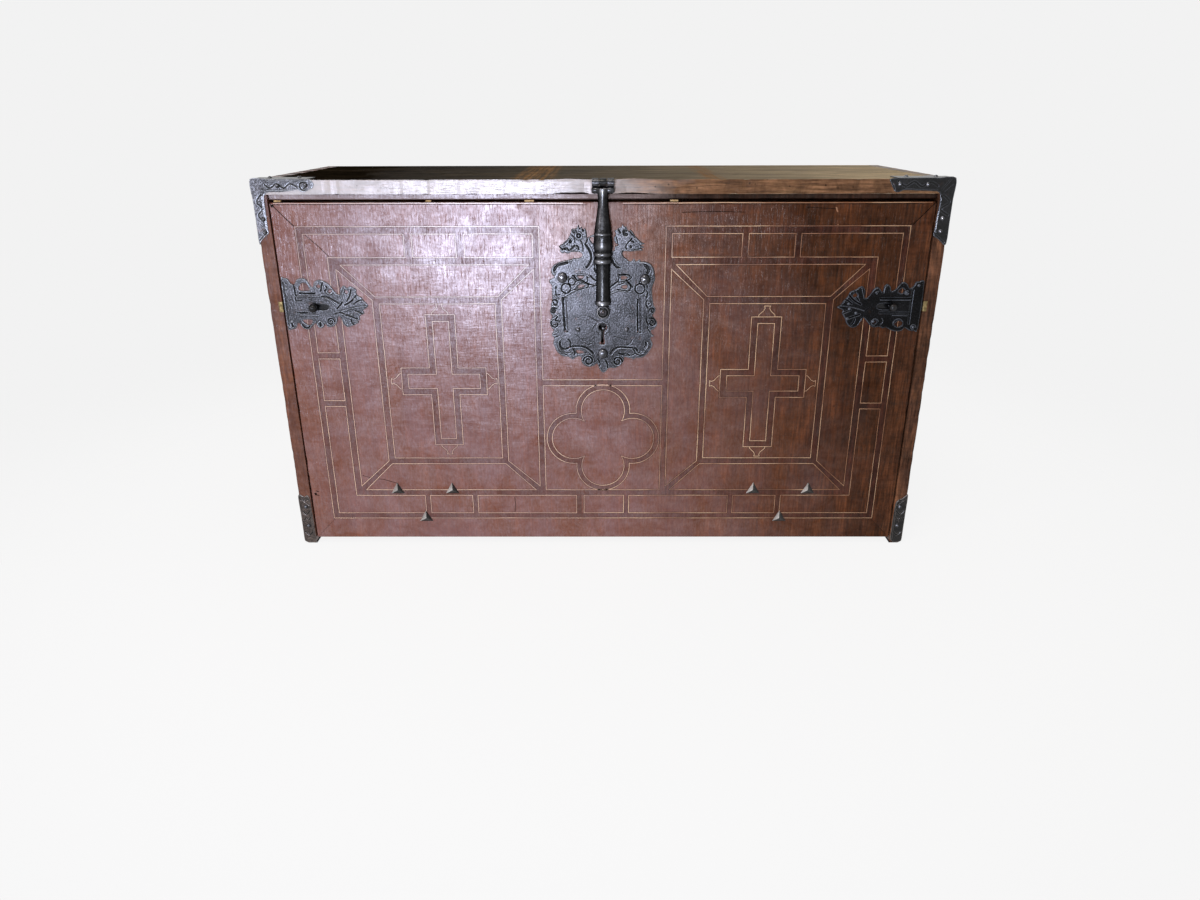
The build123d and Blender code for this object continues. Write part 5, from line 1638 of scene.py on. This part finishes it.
boltNails = {
    "left": [(-494, 444), (-492, 392), (-388, 427), (-382, 421), (-396, 403), (-389, 391)],
    "right": [
        (474, 435.4), (492, 447), (492, 382), (427.6, 391), (386, 418.6), (388, 410.8), (398.8, 404.2),
        (386, 395.4),
    ],
}
for side, sign in sides:
    loop = boltLeft if sign < 0 else boltRight
    iron = chasedIron if sign < 0 else chasedBlack
    boltPlate = [reliefShell([loop], boltHoles[side], boltCuts[side], {**plateLook, "thick": 2.5})]
    for x, z in boltNails[side]:
        cap = [(2.6, -0.4), (2.5, 0.5), (1.9, 1.3), (0.9, 1.8), (0.2, 1.9)]
        boltPlate.append(lathe(cap, (x, fallFace / mm - 2.2, z), (0, -1, 0), 14))
    piece = joinPiece(f"boltPlate_{side}", boltPlate, iron, "fall", 50)
    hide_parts(f"bolt_plate_{side}")
print("bolt plates chased")

# hasp: turned baluster, knuckles, ringed boss and the staple on its back
hasp = {"x": 1.0, "y": -207.5, "pinZ": 599.0, "bossZ": 408.0, "backY": -204.2}
balusterProfile = [
    (0.4, 590), (6.8, 590), (7.0, 586), (6.9, 579), (6.9, 571), (7.6, 562), (8.8, 552), (10.2, 543),
    (11.3, 534),
    (11.7, 527.4), (12.4, 526.4), (12.4, 524.6), (12.0, 523.6), (12.8, 515), (13.2, 508), (12.9, 503.4),
    (11.8, 499.8),
    (12.4, 498.4), (13.1, 497.2), (13.2, 494.8), (12.3, 493.2), (11.5, 491.8), (11.5, 489.8), (12.3, 488.4),
    (13.2, 486.8), (13.1, 484.2), (12.2, 482.6), (10.2, 481), (9.7, 475), (9.5, 455), (9.8, 436),
    (10.0, 427.4),
    (10.2, 425.4), (10.9, 424.2), (10.9, 419.6), (9.4, 418.2), (6.5, 416.4), (6.0, 411), (0.4, 411),
]
bossProfile = [
    (10.4, 0), (10.5, 8), (10.2, 9.4), (9.3, 10.5), (8.4, 10.7), (7.6, 10.0), (6.9, 9.3), (6.1, 9.7),
    (5.7, 11),
    (5.3, 12.4), (4.6, 13.1), (3.7, 13.2), (3.1, 12.5), (2.6, 12.2), (2.0, 12.9), (1.0, 13.25), (0.2, 13.28),
]


def squaredRing(middle, radius, power, steps=40):
    made = []
    for k in range(steps):
        c, s = math.cos(2 * math.pi * k / steps), math.sin(2 * math.pi * k / steps)
        made.append((
            middle[0] + radius * math.copysign(abs(c) ** power, c),
            middle[1] + radius * math.copysign(abs(s) ** power, s),
        ))
    return made


knuckleOuter = squaredRing((hasp["y"], hasp["pinZ"]), 6.25, 0.9)
knuckleInner = squaredRing((hasp["y"], hasp["pinZ"]), 2.7, 1.0)
middleX = hasp["x"]
cushionProfile = [
    (0.3, -17.4), (2.6, -17.2), (4.0, -16.2), (4.9, -14.2), (5.1, -11), (4.9, -7), (4.3, -5.6), (4.2, 0),
    (4.3, 5.6), (4.9, 7), (5.1, 11), (4.9, 14.2), (4.0, 16.2), (2.6, 17.2), (0.3, 17.4),
]
balusterTop = 592
balusterDown = [(radius, balusterTop - z) for radius, z in balusterProfile]
baluster = lathe(balusterDown, (middleX, hasp["y"], balusterTop), (0, 0, -1), 48, hasp["backY"])
for v in baluster[0]:
    v.x = middleX * mm + (v.x - middleX * mm) * 1.13  # a little wider than it is deep
shells = [
    baluster,
    sleeve(
        [(-205.2, 400.5), (-181, 400.5), (-181, 415.5), (-205.2, 415.5)],
        [(-188.5, 403), (-182.5, 403), (-182.5, 413), (-188.5, 413)],
        middleX - 2, middleX + 2, 0,
    ),
]
shells.append(lathe(bossProfile[:8] + [(0.3, 9.7)], (middleX, hasp["backY"], hasp["bossZ"]), (0, -1, 0), 44))
haspPiece = joinPiece("haspBaluster", shells, polishedIron, "hasp", 40)
# the boss's ringed crown is in the lighter iron as a painted highlight on its rings; the cushion and knuckles
# go with it
lightShells = [
    lathe(bossProfile[8:], (middleX, hasp["backY"], hasp["bossZ"]), (0, -1, 0), 36),
    lathe(cushionProfile, (middleX, hasp["y"], 588.2), (1, 0, 0), 32),
    sleeve(knuckleOuter, knuckleInner, middleX - 16.6, middleX - 6.4, 0),
    sleeve(knuckleOuter, knuckleInner, middleX + 6.4, middleX + 16.6, 0),
]
haspKnuckles = joinPiece("haspKnuckles", lightShells, rubbedIron, "hasp", 40)
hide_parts("hasp")
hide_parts("hasp")
print("hasp turned")

# corner straps and shoes: chased on the front, plain where they run back over the wood
strapFront = {
    "left": [
        (525.3, 604.3), (500, 604.3), (470, 604.3), (440, 604), (433.6, 602), (430.8, 597), (433.4, 591.6),
        (439, 589.6),
        (445, 586.4), (451.6, 586.6), (456, 589.4), (466, 587.6), (482, 586), (500, 585.6), (506.4, 581.6),
        (508, 574),
        (508.4, 552), (508.6, 534), (508.8, 526.4), (514, 522.4), (521, 516), (525.3, 511.6), (525.3, 540),
        (525.3, 575),
    ],
    "right": [
        (525.3, 604.3), (500, 604.3), (470, 604.3), (440, 604.3), (427.4, 602.4), (430.8, 595),
        (436.4, 585.4),
        (443, 584.2), (450, 587), (468, 586.4), (490, 585.6), (501, 584.8), (505, 580), (505.8, 566),
        (504.6, 550),
        (504.2, 534), (503.8, 521.2), (510, 517.4), (517, 511.6), (522, 507.4), (525.3, 512), (525.3, 540),
        (525.3, 575),
    ],
}
strapCuts = {
    "left": [
        (spiral((446.6, 594.4), 6.4, 3.0, 250, 1.1), 0.9, -0.8),
        ([(456, 593), (466, 597.6), (476, 591.4), (486, 597.6), (496, 591.6), (504, 596)], 1.0, -0.7),
        ([(456, 589.4), (480, 588.4), (502, 588.4)], 0.7, 0.45),
        ([(440, 601.4), (470, 601.6), (500, 601.4)], 0.7, 0.45),
        ([(512, 582), (519.6, 572), (512.6, 562), (520, 552), (513, 543)], 1.0, -0.7),
        ([(511, 580), (511.4, 552), (511.2, 531)], 0.7, 0.45),
        ([(511, 527.6), (523.6, 516.4)], 0.7, -0.7),
    ],
    "right": [
        ([(440, 600), (452, 592.6), (464, 599), (476, 592), (488, 598.4), (500, 592.4)], 1.0, -0.7),
        ([(436, 588), (432, 597)], 0.8, -0.7),
        ([(452, 589), (480, 588.2), (500, 588)], 0.7, 0.45),
        ([(510, 580), (520.6, 570), (509, 560), (521, 551)], 1.0, -0.7),
        ([(507.6, 576), (506.8, 550), (506.6, 526)], 0.7, 0.45),
        ([(507, 522.4), (521, 511)], 0.7, -0.7),
        ([(519, 604), (506.6, 588)], 0.5, -0.5),
        ([(523, 596), (511, 585)], 0.5, 0.4),
    ],
}
shoeFront = {
    "left": [
        (525.3, 7), (523.6, 3.4), (519.6, 1.6), (512, 1.6), (504.6, 1.7), (504.6, 20), (505, 50), (505.6, 74),
        (506.6, 87), (510, 91.4), (515, 88.8), (520, 91.6), (525.3, 90), (525.3, 60), (525.3, 30),
    ],
    "right": [
        (525.3, 7), (523.6, 3.4), (519.6, 1.6), (511, 1.6), (505, 8), (504.8, 20), (505.2, 50), (505.8, 72),
        (507, 78.6),
        (511, 83), (517, 86), (521.6, 90.6), (525.3, 91.2), (525.3, 60), (525.3, 30),
    ],
}
shoeCuts = [
    ([(508.6, 84), (514, 81.6), (522, 84)], 0.8, -0.7),
    ([(508.4, 72), (514, 76), (521.6, 84.6)], 0.6, 0.45),
    ([(509, 62), (515.4, 55), (521.4, 62)], 0.9, -0.7),
    ([(509, 50), (513, 44.6), (516.4, 49.6), (520.6, 44)], 0.7, -0.7),
    ([(512.4, 48), (516, 41)], 0.6, 0.45),
    ([(508.6, 22), (515, 16), (521.6, 22)], 0.9, -0.7),
    ([(508, 8), (508, 30), (508.4, 66)], 0.6, 0.4),
]
strapLook = {
    # mm
    "cell": 0.62,
    "thick": 1.5,
    "rim": 0.8,
    "round": 1.2,
    "seat": 0.0,
    "beaten": 0.2,
    "punched": 0.12,
}
for side, sign in sides:
    def turned(points, sign=sign):
        return [(x * sign, z) for x, z in points]

    def slab(x0, x1, y0, y1, z0, z1, sign=sign):
        low, high = sorted((x0 * sign, x1 * sign))
        return prism([(y0, z0), (y1, z0), (y1, z1), (y0, z1)], low, high, 0)

    iron = strapIron[side]
    cuts = [(turned(points), half, rise) for points, half, rise in strapCuts[side]]
    front = reliefShell([turned(strapFront[side])], [], cuts, strapLook)
    strap = joinPiece(f"cornerStrap_{side}", [front], iron, "root", 45)
    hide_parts(f"corner_strap_{side}")
    wraps = [slab(440, 525.4, -199.6, -158, 603, 604.45), slab(524, 525.45, -199.6, -158, 510, 603.2)]
    strapWrap = joinPiece(f"strapWrap_{side}", wraps, wrapIron, "root", 30)
    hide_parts(f"corner_strap_{side}")
    cuts = [(turned(points), half, rise) for points, half, rise in shoeCuts]
    front = reliefShell([turned(shoeFront[side])], [], cuts, strapLook)
    shoe = joinPiece(f"footShoe_{side}", [front], shoeIron[side], "root", 45)
    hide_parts(f"shoe_{side}")
    wraps = [slab(524, 525.45, -199.6, -155, 6, 90), slab(504.2, 519, -199.6, -176, 0.02, 1.5)]
    shoeWrap = joinPiece(f"shoeWrap_{side}", wraps, wrapIron, "root", 30)
    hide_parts(f"shoe_{side}")
print("straps and shoes laid")

# slivers of pale wood caught in the gap over the fall
slivers = []
for x, half in ((-490, 5), (-262, 4), (-110, 7), (108, 6)):
    outline = [(-198.4, 571.5), (-192.2, 571.5), (-192.2, 573.9), (-198, 573.8)]
    slivers.append(prism(outline, x - half, x + half, 0))
joinPiece("gapSlivers", slivers, boneLine, "root", 30)

# the rest of the iron keeps its CAD shape with softened arrises
plainIron = {"slices": [], "bevels": [(0.35 * mm, anyEdge)], "rough": 0.0, "roughScale": 60}
for name, node, body, bevel in (
    ("pyramidNails", "pyramid_nails", "fall", 0.5),
    ("strapNails", "strap_nails", "root", 0.0),
    ("sideBolt_left", "side_bolt_left", "side_bolt_left", 0.4),
    ("sideBolt_right", "side_bolt_right", "side_bolt_right", 0.4),
    ("lockCase", "lock_case", "fall", 0.8),
    ("haspEye", "hasp_eye", "root", 0.4),
    ("handlePlate_left", "handle_plate_left", "root", 0.4),
    ("handlePlate_right", "handle_plate_right", "root", 0.4),
    ("bail_left", "handle_left", "handle_left", 0.0),
    ("bail_right", "handle_right", "handle_right", 0.0),
):
    bevels = [(bevel * mm, anyEdge)] if bevel else []
    iron = {"pyramidNails": pyramidIron, "strapNails": nailIron}.get(name, blackIron)
    wornCopy(name, node, body, iron, {**plainIron, "bevels": bevels})
print("small iron softened")

# inside: the fronts, the arch and the back of the fall, laid out with the same lines as the face
inside = {
    # mm, the first three in from a front's edge
    "outerLine": 7.0,
    "band": 12.0,
    "innerLine": 17.0,
    "cornerRound": 22.0,
    "lozengeReach": 118,
    "lineWidth": 1.2,
    "lineProud": 0.12,
    "bandWidth": 8.4,
    "bandProud": 0.06,
    "starBig": 23.0,
    "starSmall": 12.0,
    "archLineWidth": 1.1,
    "backLineWidth": 1.3,
    "backBandWidth": 8.0,
}


def lozenge(x, z, halfX, halfZ):
    return [(x, z - halfZ), (x + halfX, z), (x, z + halfZ), (x - halfX, z)]


def star(x, z, big, small, points=8):
    made = []
    for k in range(2 * points):
        radius = small if k % 2 else big
        angle = math.pi * k / points
        made.append((x + radius * math.sin(angle), z + radius * math.cos(angle)))
    return made


def cornerArcs(x0, x1, z0, z1, radius):
    arcs = []
    for x, z, start in ((x0, z0, 0), (x1, z0, 90), (x1, z1, 180), (x0, z1, 270)):
        angles = [math.radians(start + 90 * step / 8) for step in range(9)]
        arcs.append(([(x + radius * math.cos(a), z + radius * math.sin(a)) for a in angles], False))
    return arcs


def frontPattern(x0, x1, z0, z1, starAt):
    def framed(gap):
        return rectangle(x0 + gap, x1 - gap, z0 + gap, z1 - gap)

    inner = inside["innerLine"]
    drawn = [(framed(inside["outerLine"]), True), (framed(inner), True)]
    drawn += cornerArcs(x0 + inner, x1 - inner, z0 + inner, z1 - inner, inside["cornerRound"])
    middleX, middleZ = (x0 + x1) / 2, (z0 + z1) / 2
    reach = min((x1 - x0) / 2 - 30, inside["lozengeReach"])
    drawn.append((lozenge(middleX, middleZ, reach, 52), True))
    drawn.append((lozenge(middleX, middleZ, reach - 19, 41), True))
    drawn.append((star(*starAt, inside["starBig"], inside["starSmall"]), True))
    laid = [(framed(inside["band"]), True), (lozenge(middleX, middleZ, reach - 9.6, 46.4), True)]
    return drawn, laid


knobProfile = [
    (5.4, -0.2), (5.7, 0.7), (5.3, 1.5), (3.5, 2.2), (3.0, 3.3), (3.5, 4.3), (5.9, 5.4), (7.1, 7.0),
    (7.4, 8.5),
    (6.7, 10.1), (4.8, 11.2), (2.6, 11.7), (2.1, 11.4), (0.3, 11.8),
]
rosetteProfile = [
    (11.0, -0.1), (11.0, 0.5), (10.3, 1.0), (9.3, 0.6), (8.3, 0.6), (7.4, 1.1), (5.0, 1.1), (0.3, 1.1),
]
lineProud, bandProud = inside["lineProud"], inside["bandProud"]
fronts = [name for name in nodes if name.startswith("drawer_") and "knob" not in name]
for body in fronts + ["cupboard_door"]:
    low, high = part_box(body)
    knob = "cupboard_knob" if body == "cupboard_door" else body.replace("drawer_", "drawer_knob_")
    knobLow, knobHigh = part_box(knob)
    knobX, knobZ = (knobLow.x + knobHigh.x) / 2 / mm, (knobLow.z + knobHigh.z) / 2 / mm
    middle = ((low.x + high.x) / 2 / mm, (low.z + high.z) / 2 / mm)
    drawn, laid = frontPattern(low.x / mm, high.x / mm, low.z / mm, high.z / mm, middle)
    joinStrips(f"lines_{body}", drawn, inside["lineWidth"], lineProud, boneLine, body, caseFace)
    joinStrips(f"bands_{body}", laid, inside["bandWidth"], bandProud, insideBand, body, caseFace)
    for name, profile, finish, slotName in (
        (f"turned_{knob}", knobProfile, boxwood, "turned_knob"),
        (f"rosette_{knob}", rosetteProfile, agedBrass, "brass"),
    ):
        shell = lathe(profile, (knobX, caseFace / mm, knobZ), (0, -1, 0), 28)
        piece = joinPiece(name, [shell], finish, body, 35)
        if finish is boxwood:
            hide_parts(knob)

archLow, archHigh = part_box("pigeonhole_arch")
archLines = []
for gap in (5.0, 9.6):
    angles = [math.pi * step / 24 for step in range(25)]
    curve = [((104 + gap) * math.cos(a), archLow.z / mm + 78 + (70 + gap) * math.sin(a)) for a in angles]
    footed = [(104 + gap, archLow.z / mm + 3)] + curve + [(-104 - gap, archLow.z / mm + 3)]
    archLines.append((footed, False))
for sign in (-1, 1):
    archLines.append((star(sign * 103, archHigh.z / mm - 19, 11, 5), True))
joinStrips("archLines", archLines, inside["archLineWidth"], lineProud, boneLine, "root", archLow.y)

edgeLines = []
floors = sorted({round(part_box(name)[0].z / mm - 0.6, 1) for name in fronts})
for floor in floors:
    edgeLines.append(([(-501, floor - 5), (501, floor - 5)], False))
    for x in (-130, 130):
        edgeLines.append(([(x, floor + 1), (x, floor + archHigh.z / mm - archLow.z / mm - 1)], False))
joinStrips("edgeLines", edgeLines, inside["lineWidth"], lineProud, boneLine, "root", caseFace)

backLines, backBands = [], []
for sign in (-1, 1):
    x0, x1 = sorted((sign * 82, sign * 440))
    backLines += [(rectangle(x0, x1, 90, 510), True), (rectangle(x0 + 10, x1 - 10, 100, 500), True)]
    backLines += cornerArcs(x0 + 10, x1 - 10, 100, 500, 40)
    middleX = (x0 + x1) / 2
    backLines += [(lozenge(middleX, 300, 130, 150), True), (lozenge(middleX, 300, 116, 134), True)]
    backLines += [(star(middleX, 300, 62, 31), True), (star(middleX, 300, 36, 18), True)]
    backBands += [(rectangle(x0 + 5, x1 - 5, 95, 505), True), (lozenge(middleX, 300, 123, 142), True)]
joinStrips("backLines", backLines, inside["backLineWidth"], lineProud, boneLine, "fall", fallBack, 1)
joinStrips(
    "backBands", backBands, inside["backBandWidth"], bandProud, insideBand, "fall", fallBack, 1,
)
print("inside laid out")

# what is left of the CAD nodes takes its finish from its material slot
slotFinish = {
    "fall_walnut": waxedWalnut,
    "carcass_walnut": carcassWalnut,
    "top_walnut": lidWalnut,
    "case_wood": caseWalnut,
    "drawer_wood": drawerWood,
    "turned_knob": boxwood,
    "wrought_iron": blackIron,
    "brass": agedBrass,
}
slotOf = {part["node"]: part["material_slot"] for part in frame["record"]["subparts"]}
for nodeName, node in nodes.items():
    node.data.materials.clear()
    node.data.materials.append(slotFinish[slotOf[nodeName]])


# floor, light and camera

floorLook = {
    # metres, but for the glow's share
    "half": 4,
    "under": 0.001,
    "glow": 0.88,
    "fadeFrom": 0.75,
    "fadeTo": 1.7,
}


def seenBare(tree):
    # one for what the camera sees, straight or in gloss and glass, and none for what lights the chest
    lightPath = addNode(tree, "LightPath")
    seen = lightPath.outputs["Is Camera Ray"]
    for ray in ("Is Glossy Ray", "Is Transmission Ray"):
        seen = addNode(tree, "Math", {0: seen, 1: lightPath.outputs[ray]}, operation="MAXIMUM")
    return seen


def makeFloor():
    # near the chest the floor takes its shadow, and further out it melts into the background
    material, tree, shader, place = newMaterial("paleFloor")
    output = tree.nodes["Material Output"]
    tree.nodes.remove(shader)
    share = addNode(tree, "Math", {0: seenBare(tree), 1: floorLook["glow"]}, operation="MULTIPLY")
    matt = addNode(tree, "BsdfDiffuse", {"Color": "#f2f2f2"})
    glow = addNode(tree, "Emission", {"Color": "#ffffff", "Strength": 1.0})
    surface = addNode(tree, "MixShader", {0: share, 1: matt, 2: glow})
    distance = addNode(tree, "VectorMath", {0: place}, operation="LENGTH")
    fade = addNode(
        tree, "MapRange", {0: distance, 1: floorLook["fadeFrom"], 2: floorLook["fadeTo"]},
        interpolation_type="SMOOTHSTEP",
    )
    clear = addNode(tree, "BsdfTransparent")
    mixed = addNode(tree, "MixShader", {0: fade, 1: surface, 2: clear})
    tree.links.new(mixed.outputs[0], output.inputs["Surface"])
    return material


floorMesh = bpy.data.meshes.new("studioFloor")
corners = [(x * floorLook["half"], y * floorLook["half"], 0) for x, y in ((-1, -1), (1, -1), (1, 1), (-1, 1))]
floorMesh.from_pydata(corners, [], [(0, 1, 2, 3)])
floorMesh.materials.append(makeFloor())
studioFloor = bpy.data.objects.new("studioFloor", floorMesh)
studioFloor.location.z = -floorLook["under"]
bpy.context.scene.collection.objects.link(studioFloor)


def makeWorld():
    world = bpy.data.worlds.new("studio")
    world.use_nodes = True
    tree = world.node_tree
    tree.nodes.clear()
    backdrop = addNode(tree, "Background", {"Color": "#f2f2f2", "Strength": 1.0})
    ambient = addNode(tree, "Background", {"Color": "#f6f2ee", "Strength": 0.2})
    mixed = addNode(tree, "MixShader", {0: seenBare(tree), 1: ambient, 2: backdrop})
    addNode(tree, "OutputWorld", {"Surface": mixed})
    bpy.context.scene.world = world


makeWorld()

lamps = {
    # name: (place, aims at, width, height, watts, colour)
    "lowWindow": ((-0.44, -2.45, 0.29), (-0.1, 0, 0.42), 0.62, 0.36, 36, "#e2e9fc"),
    "sideWindow": ((-1.9, -1.7, 1.1), (0, 0, 0.3), 0.5, 0.7, 11, "#fbf4ff"),
    "overhead": ((-0.2, -1.2, 2.3), (0, 0, 0.3), 0.6, 0.4, 12, "#fff6ea"),
}
for lampName, (where, aim, width, height, watts, colour) in lamps.items():
    light = bpy.data.lights.new(lampName, "AREA")
    light.shape = "RECTANGLE"
    light.size = width
    light.size_y = height
    light.energy = watts
    light.color = toLinear(colour)[:3]
    lamp = bpy.data.objects.new(lampName, light)
    lamp.location = where
    lamp.rotation_euler = (Vector(aim) - Vector(where)).to_track_quat("-Z", "Y").to_euler()
    lamp.visible_camera = False
    bpy.context.scene.collection.objects.link(lamp)

view = {
    # metres, degrees and millimetres of lens
    "place": (0.00235, -1.58090, 0.68765),
    "pitch": 23.68,
    "roll": 0.121,
    "yaw": 0.231,
    "lens": 26.19,
    "shift": 50 / 1200,
}
lensData = bpy.data.cameras.new("camera")
lensData.lens = view["lens"]
lensData.sensor_width = 36
lensData.shift_y = view["shift"]
camera = bpy.data.objects.new("camera", lensData)
camera.location = view["place"]
camera.rotation_euler = [math.radians(turn) for turn in (90 - view["pitch"], view["roll"], view["yaw"])]
bpy.context.scene.collection.objects.link(camera)
bpy.context.scene.camera = camera
bpy.context.scene.view_settings.view_transform = "Standard"
print("stage set")
